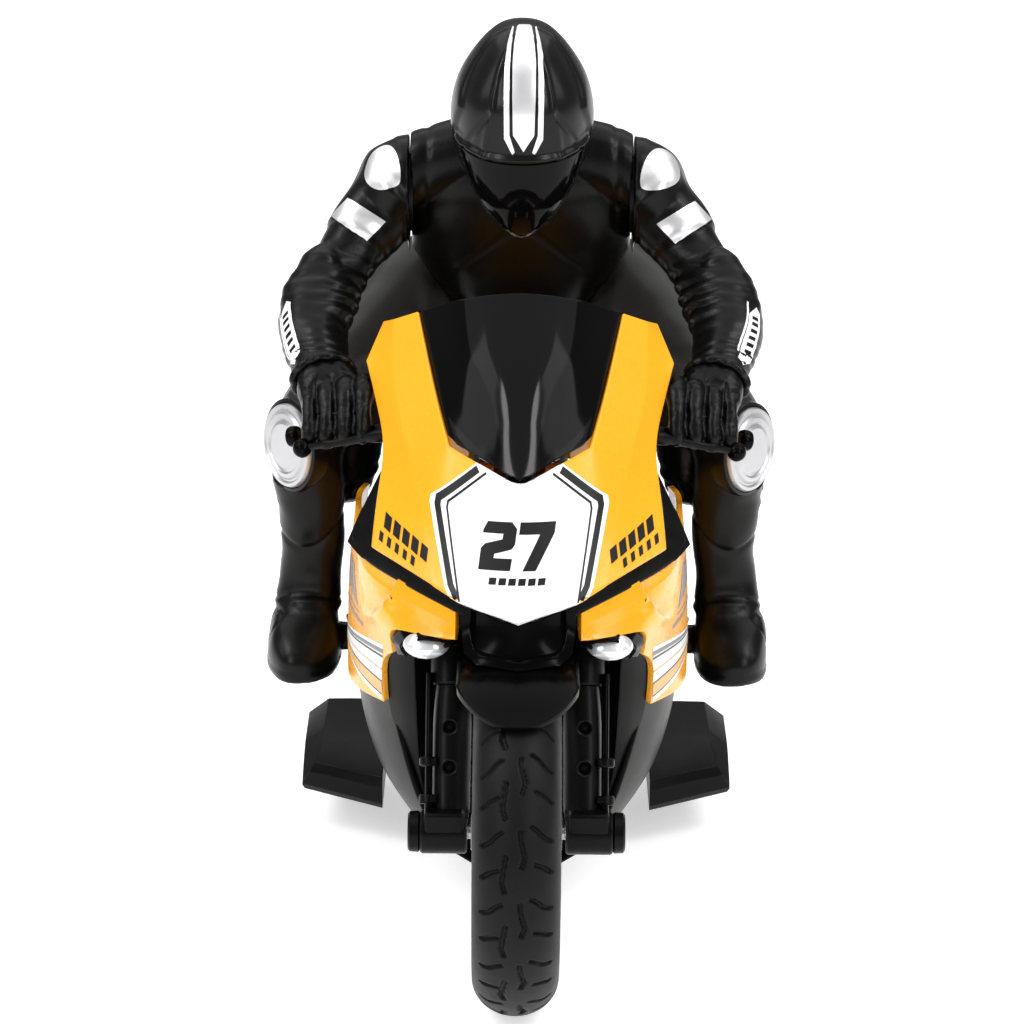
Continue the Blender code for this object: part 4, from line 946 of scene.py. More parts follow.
def leg(side, word):
    """Thigh, knee cup, shin guard and boot, with the knee puck in its recess."""
    stations = ((13.4, 47.5, 119.5, 11.0, 15.6), (22, 41, 119.5, 11.4, 14.6), (33, 26, 112, 10.2, 11.8),
                (42.5, 12, 104, 9.2, 9.6), (48.0, 2.5, 95.5, 8.6, 9.0), (47.8, 5.0, 84, 7.9, 8.0),
                (47.5, 8.5, 72, 7.0, 7.4), (48.3, 10, 62, 6.1, 7.0), (48.8, 9, 54, 6.7, 8.0))
    # The thigh wears the suit with its painted sheen on the upper part.
    thigh = limb("thigh", [(side * x, y, z, w, d) for x, y, z, w, d in stations], M["breeches"], None, 64,
                 120,
                 across=Y_AXIS, ends=(X_AXIS * side, None))
    rows = spline(((48.5, 9, 57.5, 6.1, 7.4), (48.8, 8.2, 54.5, 6.8, 8.4), (49.4, 6, 51, 7.9, 12.0),
                   (49.6, 4, 46.5, 8.3, 14.2), (49.6, 4, 42.8, 8.2, 14.4), (49.6, 4, 40.9, 7.7, 13.8)), 24)
    foot = loft("foot", [ring(flipped(side, (x, y, z)), (0, 0, 1), w, d, 56, 2.5) for x, y, z, w, d in rows],
                M["suit"],
                None)
    calf = capsules("calf", [(flipped(side, (38.6, 15, 98)), 8.2), (flipped(side, (40.0, 15, 84)), 7.0)],
                    M["suit"])
    heel = capsules("heel", [(flipped(side, (44.0, 12, 45.2)), 3.4), (flipped(side, (37.0, 12, 45.0)), 3.2)],
                    M["suit"])
    skin = fuse(f"leg_{word}_skin", [thigh, foot, calf, heel], 0.6, 5)

    def folds(points):
        x, y, z = points.T
        x = x * side
        soft = wave_noise(points, 8.0, 9.0 + side) * 0.5
        arc = (z - 69.5) - 0.10 * (x - 49) ** 2 * np.where(y < 10, 1, 0)
        shin = np.exp(-(arc / 0.7) ** 2) * 0.45
        plate = np.exp(-((z - 58.5 + 0.05 * (x - 49) ** 2) / 0.6) ** 2) * 0.4
        disc = np.hypot(y - 3.0, z - 50.5)
        ankle = np.exp(-((disc - 3.6) / 0.5) ** 2) * 0.35 * (x > 52)
        sole = 0.5 * (z < 43.2) * (z > 40.5)
        knee = np.sin((z - 84) * 1.5 + wave_noise(points,
                                                  5.0) * 1.5) * np.exp(-((z - 84) / 4) ** 2) * 0.28 * (y > 3)
        hip = np.sin((x * 0.9 - y * 0.4) * 0.9) * np.exp(-((x - 19) / 6) ** 2) * 0.25
        return soft - shin - plate - ankle + sole * 0.5 + knee + hip * np.clip((x - 14) / 3, 0, 1)

    push(skin, folds)
    points = points_of(skin)
    points[:, 0] = side * np.maximum(points[:, 0] * side, 13.35)
    points[:, 2] = np.maximum(points[:, 2], 40.85)
    set_points(skin, points)
    normal = Vector(flipped(side, (0.80, -0.58, 0.05))).normalized()
    centre = Vector(flipped(side, (50.2, -2.6, 96.0))) + normal * 0.8
    height = (points - np.array(centre)) @ np.array(normal)
    away = np.linalg.norm(points - np.array(centre) - height[:, None] * np.array(normal), axis=1)
    dent = np.where(away < 10.2, np.clip(height + 0.6, 0, None), 0)
    set_points(skin, points - dent[:, None] * np.array(normal))
    placed(skin, "frame", f"leg_{word}", slot="suit_black")
    profile = [(-2.5, 0.01), (-2.5, 9.5), (1.9, 9.6), (2.5, 9.3), (2.6, 8.6), (2.2, 8.2), (2.3, 7.8),
               (2.9, 7.3),
               (3.0, 6.4), (2.6, 6.0), (2.7, 5.6), (3.2, 5.0), (3.3, 0.01)]
    turned(f"knee_puck_{word}", profile, centre, M["puck"], "frame", f"knee_slider_{word}", sides=96,
           slot="silver_paint", axis=normal)
    turned(f"knee_cup_{word}", [(-3, 9.8), (0.2, 10.9), (1.5, 10.6), (1.7, 9.9), (0.8, 9.7), (-3, 9.6)],
           centre,
           M["suit"], "frame", sides=96, slot="suit_black", axis=normal)


# ---------------------------------------------------------------- bodywork

FAIRING_POINTS = {
    "tip": (0, -98, 86.9), "low": (12.5, -92, 89.2), "crease_low": (17.8, -87, 91.2),
    "corner": (30.8, -72, 94.6),
    "mid": (0, -88.2, 98.0), "plate": (15.8, -79, 102.2), "crease_mid": (20.6, -74, 101.6),
    "side": (30.2, -62, 101.6),
    "screen_tip": (0, -76.4, 109.0), "screen_low": (14.9, -63.6, 114.0), "crease_waist": (22.8, -60.5, 109.0),
    "waist": (28.6, -50, 109.6), "screen_side": (17.4, -54, 119.8), "crease_ear": (26.2, -49, 116.2),
    "ear_low": (30.6, -41.5, 115.6), "screen_high": (19.8, -43, 127.2), "crease_high": (27.6, -38, 124.6),
    "ear": (33.4, -32, 123.7), "screen_top": (22.2, -30.5, 134.4), "crease_top": (27.6, -28, 132.0),
    "ear_top": (29.9, -24.5, 130.6),
}
FAIRING_FACES = [
    ("mid", "tip", "low", "plate"), ("plate", "low", "crease_low", "crease_mid"),
    ("crease_mid", "crease_low", "corner", "side"), ("screen_tip", "mid", "plate", "screen_low"),
    ("screen_low", "plate", "crease_mid", "crease_waist"), ("crease_waist", "crease_mid", "side", "waist"),
    ("screen_side", "screen_low", "crease_waist", "crease_ear"),
    ("crease_ear", "crease_waist", "waist", "ear_low"),
    ("screen_high", "screen_side", "crease_ear", "crease_high"),
    ("crease_high", "crease_ear", "ear_low", "ear"),
    ("screen_top", "screen_high", "crease_high", "crease_top"),
    ("crease_top", "crease_high", "ear", "ear_top"),
]
CREASE_LINE = ("crease_low", "crease_mid", "crease_waist", "crease_ear", "crease_high", "crease_top")


def front_fairing():
    creases = [((a, b), 0.95) for a, b in zip(CREASE_LINE, CREASE_LINE[1:])]
    creases += [(("low", "plate"), 0.35), (("plate", "screen_low"), 0.3)]
    shell = sheet_mesh("front_fairing_shell", FAIRING_POINTS, FAIRING_FACES, True, 1.2, M["yellow"], "frame",
                       "front_fairing", slot="yellow_plastic", levels=4, crease=creases,
                       corners=("tip", "corner", "screen_tip", "screen_low", "ear", "ear_top", "screen_top"))
    tree = surface(shell)
    ahead = (0, 1, 0)
    plate = [(0, 83), (-12.4, 86.4), (-15.2, 91.4), (-18.6, 104.4), (-18.4, 105.6), (-9.9, 111.2),
             (-6.5, 113.6),
             (0, 112)]
    decal("number_plate", [plate + mirrored(plate)[-2:0:-1]], from_front, ahead, tree, M["white"], "frame",
          lift=0.06, slot="silver_paint")
    cover, out = points_of(shell), normals_of(shell)
    edging = []
    for face in shell.data.polygons:
        x, _, z = cover[list(face.vertices)].mean(axis=0)
        foot, brim = z - 86.9 - 0.184 * abs(x), z - 109 - 0.335 * abs(x)
        if (abs(x) < 12.3 and foot < 2.6 or abs(x) < 8.6 and brim > -2.4) and face.normal.y < 0.45:
            edging.append(tuple(face.vertices))
    used = sorted({v for face in edging for v in face})
    order = {v: n for n, v in enumerate(used)}
    make("plate_edging", [cover[v] + out[v] * 0.05 for v in used],
         [[order[v] for v in face] for face in edging],
         M["white"], "frame", slot="silver_paint")
    wide = [(-8.6, 110.9), (-16.7, 105.5), (-16.9, 104.4), (-13.9, 91.8), (-12.6, 89.6)]
    fine = [(-6.9, 110.4), (-14.7, 105.2), (-14.9, 104.2), (-12.1, 89.2)]
    strokes = [stroke(wide, 1.25), stroke(fine, 0.42)]
    decal("plate_lines", strokes + [mirrored(s) for s in strokes], from_front, ahead, tree, M["ink"], "frame",
          lift=0.11,
          cell=0.8)
    two = [(-7.3, 101.4), (-6.4, 102.8), (-1.4, 102.8), (-0.4, 101.7), (-0.8, 99.2), (-1.5, 98.4),
           (-5.0, 97.6),
           (-5.2, 96.9), (-1.4, 96.9), (-1.8, 94.9), (-8.3, 94.9), (-7.8, 98.4), (-6.9, 99.2), (-3.4, 100.0),
           (-3.2, 100.9), (-7.4, 100.9)]
    seven = [(0.3, 102.8), (7.6, 102.8), (7.3, 101.0), (3.4, 94.9), (0.7, 94.9), (4.3, 100.8), (0.0, 100.8)]
    rule = [[(x, 93.7), (x + 1.5, 93.75), (x + 1.3, 92.6), (x - 0.2, 92.55)] for x in np.arange(-6.0, 5.6,
                                                                                                2.0)]
    decal("race_number", [two, seven] + rule, from_front, ahead, tree, M["ink"], "frame", lift=0.12, cell=1.0)
    marks = []
    for k in range(5):
        x, z = -28.2 + 1.95 * k, 98.2 - 0.70 * k
        marks.append([(x, z - 0.3), (x + 1.4, z - 0.95), (x + 1.75, z + 1.45), (x + 0.35, z + 2.1)])
    for k in range(5):
        x, z = -29.2 + 1.7 * k, 96.1 - 0.56 * k
        marks.append([(x, z - 0.3), (x + 0.8, z - 0.68), (x + 1.05, z + 0.8), (x + 0.25, z + 1.18)])
    decal("flank_marks", marks + [mirrored(m) for m in marks], from_front, ahead, tree, M["ink"], "frame",
          lift=0.07,
          cell=0.8)


SCREEN_ROWS = [
    ((0, -75.6, 110.2), (7.2, -69.6, 112.6), (14.0, -63.2, 115.0)),
    ((0, -66.5, 119.6), (9.0, -62.0, 119.4), (16.4, -54.2, 120.4)),
    ((0, -55.5, 130.0), (10.4, -51.8, 129.2), (18.8, -43.4, 127.8)),
    ((0, -41.0, 141.2), (12.0, -38.2, 139.2), (21.4, -31.2, 134.6)),
]


def windshield():
    """A bubble screen: rows of the cage splined across and up, pointed at its foot."""
    across = []
    for n, row in enumerate(SCREEN_ROWS):
        full = [(-x, y, z) for x, y, z in row[:0:-1]] + list(row)
        smooth = spline(full, 61)
        if n == 0:
            straight = np.array([[np.interp(t, np.arange(5), np.array(full)[:, c]) for c in range(3)]
                                 for t in np.linspace(0, 4, 61)])
            smooth = straight * 0.7 + smooth * 0.3
        across.append(smooth)
    skirted = []
    for row in across:
        low, high = row[0] + (row[0] - row[3]) * 0.9 + (0, 1.6,
                                                        0), row[-1] + (row[-1] - row[-4]) * 0.9 + (0, 1.6, 0)
        skirted.append(np.vstack([[low], row[1:-1], [high]]))
    across = np.array(skirted)
    grid = spline(across.reshape(4, -1), 60).reshape(60, 61, 3)
    obj = make("windshield_bubble", grid.reshape(-1, 3), grid_faces(60, 61), M["smoke"], "frame",
               "windshield",
               slot="smoked_screen", sharp=None)
    thicken(obj, 0.9)
    edge_round(obj, 0.2, 2, 60)


COWL_POINTS = {
    "b1": (11.6, -90.4, 84.6), "b2": (15, -87.0, 85.1), "b3": (20.5, -81.5, 85.8), "b4": (28.5, -71.5, 86.6),
    "b5": (33, -64, 88.2), "b6": (35.8, -58.5, 91.5), "b7": (33.4, -52.5, 97.5), "b8": (30.0, -47, 103.0),
    "h1": (11.6, -87.8, 89.0), "h2": (15, -84.2, 90.2), "h3": (20.5, -77.6, 91.8), "h4": (26.8, -69, 94.0),
    "h5": (28.2, -64, 96.0), "h6": (28.0, -58, 98.6), "h7": (26.8, -52, 102.4), "h8": (26.0, -46.6, 106.4),
}


def inner_cowl():
    """The black band under the number plate: a soft-edged roll with a pointed fin, tucked in at its edges."""
    for side, word in SIDES:
        points = {}
        for k in range(1, 9):
            b, h = Vector(COWL_POINTS[f"b{k}"]), Vector(COWL_POINTS[f"h{k}"])
            out = Vector((0.45, -1, -0.2)).normalized() if k < 6 else Vector((1, -0.35, 0)).normalized()
            points[f"u{k}"] = h - out * 0.8 + (h - b) * 0.12
            points[f"h{k}"] = h + out * 0.1
            b = b.lerp(h, 0.2 if k < 5 else 0.05)
            points[f"m{k}"] = h.lerp(b, 0.5) + out * (0.55 if k < 7 else 0.2)
            points[f"b{k}"] = b + out * 0.1
            points[f"t{k}"] = b - out * 4.0 - Vector((0.6, 0, 0))
        points["m6"] = Vector((33.4, -60.4, 94.6))
        points["b6"] = Vector((36.4, -58.8, 91.2))
        points = {key: flipped(side, p) for key, p in points.items()}
        faces = [(f"{a}{k}", f"{b}{k}", f"{b}{k + 1}", f"{a}{k + 1}") for a, b in ("uh", "hm", "mb", "bt")
                 for k in range(1, 8)]
        crease = [((f"b{k}", f"b{k + 1}"), 0.45) for k in range(1, 8)] + [(("b5", "b6"), 0.85),
                                                                          (("b6", "b7"), 0.85)]
        crease += [((f"h{k}", f"h{k + 1}"), 0.3) for k in range(1, 8)]
        nodes = ("inner_cowl",) if side > 0 else ()
        sheet_mesh(f"cowl_band_{word}", points, faces, False, 0.9, M["satin"], "frame", *nodes,
                   slot="black_plastic",
                   crease=crease, corners=("b6",))


SIDE_POINTS = {
    "a0": (12.9, -89.4, 83.2), "a1": (20.5, -82.0, 84.4), "a2": (28.5, -72.3, 85.2),
    "a3": (33.0, -64.8, 86.6),
    "a4": (34.8, -54, 88.8), "a5": (35.2, -44, 94.4), "a6": (36.2, -24, 91.5), "a7": (35.4, 4, 85.0),
    "b0": (12.9, -90.2, 80.4), "b1": (20.5, -87.6, 80.6), "b2": (27.2, -78.2, 79.0),
    "b3": (31.4, -66.5, 78.0),
    "b4": (34.8, -54, 77.0), "b5": (36.6, -42, 76.4), "b6": (38.2, -24, 75.0), "b7": (37.4, 4, 72.0),
    "c2": (26.2, -76.4, 72.6), "c3": (29.4, -64, 67.0), "c4": (33.0, -52.0, 64.8), "c5": (36.6, -40, 62.0),
    "c6": (38.6, -22, 59.6), "c7": (38.2, 4, 57.0),
    "d3": (28.8, -56, 54.0), "d4": (32.8, -48, 52.8), "d5": (36.4, -37, 50.8), "d6": (38.8, -20, 48.2),
    "d7": (38.4, 4, 45.6),
}
SIDE_FACES = ([(f"a{i}", f"b{i}", f"b{i + 1}", f"a{i + 1}") for i in range(7)]
              + [(f"b{i}", f"c{i}", f"c{i + 1}", f"b{i + 1}") for i in range(2, 7)]
              + [(f"c{i}", f"d{i}", f"d{i + 1}", f"c{i + 1}") for i in range(3, 7)])


def side_stripe(t0, t1, back=22.0, start=0.0):
    """A band on the flank in (y, z): t runs down the front edge, and bands close up towards the back."""
    rows = []
    for t in (t0, t1):
        front = Vector((-70.5 + 14.6 * t + 0.5, 71.9 - 17.6 * t))
        rear = Vector((-46 + 6 * t, 66.5 - 10.5 * t))
        way = (rear - front).normalized()
        rows.append((tuple(front + way * start), tuple(front + way * back)))
    return [rows[0][0], rows[0][1], rows[1][1], rows[1][0]]


def step(value):
    """A soft step from 0 to 1 as value passes through 0."""
    return 1 / (1 + np.exp(-value))


def side_fairings():
    """The yellow flanks: brow over the lamp, scoop with its ridge, swept bands and abstract marks."""
    for side, word in SIDES:
        points = {key: Vector((side * x, y, z)) for key, (x, y, z) in SIDE_POINTS.items()}
        for i, tuck in enumerate(((0, 1.6, 3.4), (0.4, 1.8, 3.0), (-0.5, 2.0, 3.6), (-1.4, 1.8, 4.0),
                                  (-1.2, 0, 5.0))):
            points[f"ta{i}"] = points[f"a{i}"] + flipped(side, tuck)
        faces = SIDE_FACES + [(f"ta{i}", f"a{i}", f"a{i + 1}", f"ta{i + 1}") for i in range(4)]
        crease = [((f"b{i}", f"b{i + 1}"), 0.25) for i in (1, 2)] + [((f"a{i}", f"a{i + 1}"),
                                                                      0.7) for i in (0, 1, 2, 3)]

        def shape(points, side=side):
            x, y, z = points[:, 0] * side, points[:, 1], points[:, 2]
            edge = (x - 26.6) * 0.87 + (z - 85.2) * 0.49
            depth = np.clip(edge / 0.9, 0, 1) * np.exp(-np.clip(edge, 0, 20) / 3.6)
            window = step((z - 77.6) / 0.8) * step((87.6 - z) / 0.8) * step((33.2 - x) / 0.7)
            ridge = np.exp(-((edge + 0.7) / 0.9) ** 2) * step((z - 76.5) / 0.9) * (y < -60)
            valley = np.exp(-(((z - 82.2) - (x - 20) * 0.15) / 1.1) ** 2) * (x < 27.5) * (x > 15) * (y < -70)
            return -2.3 * depth * window * (y < -58) + 0.5 * ridge - 0.35 * valley * np.clip((x - 15) / 4, 0,
                                                                                             1)

        shell = sheet_mesh(f"flank_{word}", points, faces, False, 1.3, M["yellow"], "frame",
                           f"side_fairing_{word}",
                           slot="yellow_plastic", levels=4, crease=crease, shape=shape,
                           corners=("b0", "ta0", "c2", "d3"))
        tree = surface(shell)
        heading = (-side, 0, 0)
        spot = lambda a, b, side=side: (side * 90, a, b)
        bands = {
            "white": ((0.0, 1.0),), "grey": ((0.07, 0.137),), "ink": ((0.14, 0.152), (0.185, 0.228),
                                                                      (0.655, 0.675),
                                                                       (0.89, 0.915)),
            "gold": ((0.437, 0.462), (0.68, 0.885)),
        }
        for n, (mat, ranges) in enumerate(bands.items()):
            decal(f"flank_bands_{mat}_{word}", [side_stripe(*r, back=46) for r in ranges], spot, heading,
                  tree, M[mat],
                  "frame", lift=0.06 + 0.03 * n, cell=1.5,
                  slot="silver_paint" if mat == "white" else "black_plastic")
        marks = [[(y, 74.4), (y + width, 74.4), (y + width + 3.4, 82.6 - 0.9 * k), (y + 3.4, 82.6 - 0.9 * k)]
                 for k, (y, width) in enumerate(((-52, 5.2), (-45, 4.2), (-39, 3.2), (-34, 2.2), (-30, 1.4)))]
        marks += [stroke([(-55, 71.2), (-30, 69.4), (-2, 67.6)], 1.0),
                  stroke([(-52, 73.0), (-34, 71.4)], 0.45)]
        decal(f"flank_marks_{word}", marks, spot, heading, tree, M["grey"], "frame", lift=0.07, cell=1.5,
              slot="black_plastic")


def hull_front():
    """The dark inner walls beside the front wheel, from under the lamps back to the radiator plate."""
    rows = []
    for z, front_x, front_y, post in ((84.5, 26.5, -76.0, 3.0), (76, 27.2, -73.0, 1.0),
                                      (68, 27.6, -64.6, -1.6),
                                      (60, 28.0, -58.6, -3.0), (51, 27.9, -52.6, -4.6),
                                      (44, 26.2, -49.8, -4.0),
                                      (34, 23.4, -49.0, -2.0), (24, 19.0, -49.0, 0), (15.5, 11.0, -49.0, 0)):
        back_x = min(front_x - 1.2, 18.8)
        edge_x = min(front_x - 0.6, 20.8)
        knee_y = min(front_y + post, -50.0) if z > 30 else -49.0
        rows.append([(0, -48.4, z), (back_x * 0.55, -48.2, z), (back_x, -48.7, z),
                     (edge_x, (knee_y - 49) / 2, z),
                     (edge_x + (front_x - edge_x) * 0.12, knee_y, z),
                     (edge_x + (front_x - edge_x) * 0.55, (knee_y + front_y) / 2 - 0.7, z),
                     (front_x, front_y, z)])
    points, faces = cage(rows)
    sheet_mesh("hull_front_wall", points, faces, True, 1.2, M["satin"], "frame", "radiator",
               slot="black_plastic",
               core=Vector((0, 40, 50)), crease=[(((r, 4), (r + 1, 4)), 0.45) for r in range(8)])
    slats = []
    for k in range(9):
        z = 24 + 4.2 * k
        half = min(19, 6 + (z - 14) * 0.55)
        slats.append(rod("slat", (-half, -48.9, z), (half, -48.9, z), 0.7, M["satin"], sides=12))
    placed(join("radiator_slats", slats), "frame", slot="black_plastic")


def belly_pan():
    """The lower hull: rounded chines, with its upper edge tucked under the flanks."""
    sections = {
        -52: ((0, 13.6), (8, 13.6), (16.5, 19), (21.6, 29), (25.2, 42), (27.6, 53)),
        -47: ((0, 12.6), (8.6, 12.6), (18.2, 18.6), (24.4, 29), (28.6, 42), (30.0, 52.6)),
        -36: ((0, 11.6), (10, 11.6), (23, 18.5), (30.5, 29), (33.8, 42), (34.6, 52.0)),
        -14: ((0, 11.6), (11, 11.6), (25, 18.5), (33, 29), (36.6, 40), (37.2, 50.0)),
        10: ((0, 11.6), (11, 11.6), (24, 18.5), (31, 28), (35.5, 39), (36.6, 48.5)),
        22: ((0, 12.4), (10.6, 12.4), (21.5, 19), (27, 28), (31.5, 39), (32.5, 46.0)),
        34: ((0, 14), (10, 14), (18.5, 20), (22, 28), (24, 39), (24.5, 44.5)),
    }
    points, faces = cage([[(x, y, z) for x, z in row] for y, row in sections.items()])
    crease = [(((r, column), (r + 1, column)), firm) for column, firm in ((1, 0.6), (2, 0.35), (3, 0.2))
              for r in range(6)]
    pan = sheet_mesh("belly_hull", points, faces, True, 1.3, M["satin"], "frame", "belly_pan",
                     slot="gloss_black_plastic", crease=crease)
    cutters = [block("hole", (-7.8, -26.3, 8), (7.8, 2.3, 15.9), M["satin"]),
               block("slot", (-4.2, 6.2, 8), (4.2, 9.4, 16), M["satin"])]
    carve(pan, *cutters)


def block(name, low, high, mat, body=None, *nodes, bevel=0.0, slot=None):
    low, high = Vector(low), Vector(high)
    corners = [[(low.x, low.y, z), (high.x, low.y, z), (high.x, high.y, z),
                (low.x, high.y, z)] for z in (low.z, high.z)]
    made = loft(name, [[Vector(p) for p in r] for r in corners], mat, body, *nodes, slot=slot)
    return edge_round(made, bevel, 3, 30) if bevel else made


def carve(obj, *tools):
    """Cuts the tools out of obj for good."""
    for tool in tools:
        modifier = obj.modifiers.new("cut", "BOOLEAN")
        modifier.operation = "DIFFERENCE"
        modifier.solver = "EXACT"
        modifier.object = tool
    settled(obj)
    for tool in tools:
        bpy.data.objects.remove(tool)
    obj.data.shade_smooth()
    obj.data.set_sharp_from_angle(angle=math.radians(35))
    return obj


def nose():
    """The five-sided panel under the number plate, in a raised surround with a rolled lower lip."""
    outer = [(0, -98.4, 86.4), (11.6, -92.6, 88.2), (12.0, -92.0, 84.0), (11.0, -94.6, 79.2),
             (8.6, -97.4, 77.6),
             (0, -99.6, 77.0)]
    inner = [(0, -97.6, 86.4), (9.6, -92.9, 88.0), (10.0, -92.6, 84.2), (9.4, -95.0, 80.6),
             (7.8, -96.9, 79.4),
             (0, -98.8, 79.0)]
    deep = [(x * 0.96, y + 1.1, z + 0.1) for x, y, z in inner]
    back = [(x, y + 5.5, z + 0.4) for x, y, z in outer]
    points = {}
    for tag, row in (("k", back), ("o", outer), ("i", inner), ("d", deep)):
        for n, p in enumerate(row):
            points[f"{tag}{n}"] = (max(p[0], 0) if n in (0, 5) else p[0], p[1], p[2])
    points["c1"] = (5.0, -94.4, 86.6)
    points["c0"] = (0, -96.6, 86.0)
    points["m1"] = (4.8, -95.6, 82.6)
    points["m0"] = (0, -96.9, 82.2)
    faces = []
    for a, b in ("ko", "oi", "id"):
        faces += [(f"{a}{n}", f"{b}{n}", f"{b}{n + 1}", f"{a}{n + 1}") for n in range(1, 5)]
    faces += [("d1", "d2", "m1", "c1"), ("d2", "d3", "d4", "m1"), ("d4", "d5", "m0", "m1"),
              ("c1", "m1", "m0", "c0")]
    crease = [((f"{t}{n}", f"{t}{n + 1}"), w) for t, w in (("o", 0.8), ("i", 0.85),
                                                           ("d", 0.9)) for n in range(1, 5)]
    sheet_mesh("nose_surround", points, faces, True, 0.9, M["gloss"], "frame", "nose_intake",
               slot="gloss_black_plastic", crease=crease, core=Vector((0, -60, 84)),
               corners=("o3", "o4", "i3", "i4", "o5", "i5"))


def lamp(side, word):
    """An oval lens with fine prisms, hooded by a black lid and cheek."""
    centre = flipped(side, (18.9, -85.8, 77.6))
    rings = []
    for y, w, h, z in ((-2.9, 0.6, 0.3, -0.2), (-2.75, 1.6, 0.8, -0.2), (-2.35, 2.7, 1.35, -0.2),
                       (-1.7, 3.7, 2.1, -0.1),
                       (-0.8, 4.4, 2.6, 0), (0.4, 4.8, 2.9, 0), (1.4, 4.8, 2.9, 0)):
        rings.append(ring(centre + Vector((0, y - 0.4, z)), (0, 1, 0), w, h, 72, 1.9))
    lens = loft(f"lamp_lens_{word}", rings, M["lens"], "frame", f"headlight_{word}", slot="silver_paint")

    def prisms(points):
        x = (points[:, 0] - centre.x) * side
        return 0.02 * np.sin(x * 4.2 + (points[:, 2] - centre.z) * 1.6)

    push(lens, prisms)
    lid = [(12.8, -87.6, 80.6), (16.5, -86.8, 81.0), (21.0, -84.8, 80.8), (24.6, -80.4, 79.8),
           (26.5, -78.2, 76.4),
           (25.0, -79.4, 73.2)]
    eye = [(13.4, -89.6, 78.7), (15.8, -89.6, 79.7), (19.8, -88.8, 79.7), (22.7, -86.4, 78.4),
           (24.1, -84.4, 76.5),
           (22.6, -84.8, 74.9)]
    points = {}
    for n, (edge, opening) in enumerate(zip(lid, eye)):
        points[f"l{n}"] = flipped(side, edge)
        points[f"e{n}"] = flipped(side, opening)
        points[f"r{n}"] = flipped(side, (opening[0], opening[1] + 3.4, opening[2] - 0.3))
    faces = [(f"l{n}", f"e{n}", f"e{n + 1}", f"l{n + 1}") for n in range(5)]
    faces += [(f"e{n}", f"r{n}", f"r{n + 1}", f"e{n + 1}") for n in range(5)]
    crease = [((f"e{n}", f"e{n + 1}"), 0.8) for n in range(5)] + [((f"l{n}", f"e{n}"),
                                                                   0.5) for n in range(1, 5)]
    sheet_mesh(f"lamp_lid_{word}", points, faces, False, 0.8, M["gloss"], "frame", slot="gloss_black_plastic",
               crease=crease, core=centre + Vector((0, 30, 0)), corners=("e1", "e3", "l1", "l3"), levels=2)
    rows = [[(13.6, -88.0, 78.2), (16.8, -87.8, 77.0), (20.8, -86.2, 75.6), (24.6, -81.4, 75.4)],
            [(13.6, -85.4, 78.0), (16.6, -85.6, 76.8), (20.6, -83.8, 75.0), (24.6, -79.0, 73.8)],
            [(13.6, -80.0, 77.2), (16.4, -80.0, 76.2), (20.6, -78.0, 74.0), (24.8, -74.0, 72.2)],
            [(13.6, -72.0, 75.6), (16.4, -72.0, 74.6), (20.6, -70.0, 72.4), (25.0, -67.0, 70.8)]]
    points, faces = cage([[flipped(side, p) for p in row] for row in rows])
    sheet_mesh(f"lamp_cheek_{word}", points, faces, False, 0.8, M["gloss"], "frame",
               slot="gloss_black_plastic",
               core=Vector((0, 0, 90)))


def on_fork(side, along, back=0.0, spread=14.0):
    return FRONT_AXLE + FORK_UP * along + FORK_BACK * back + X_AXIS * side * spread


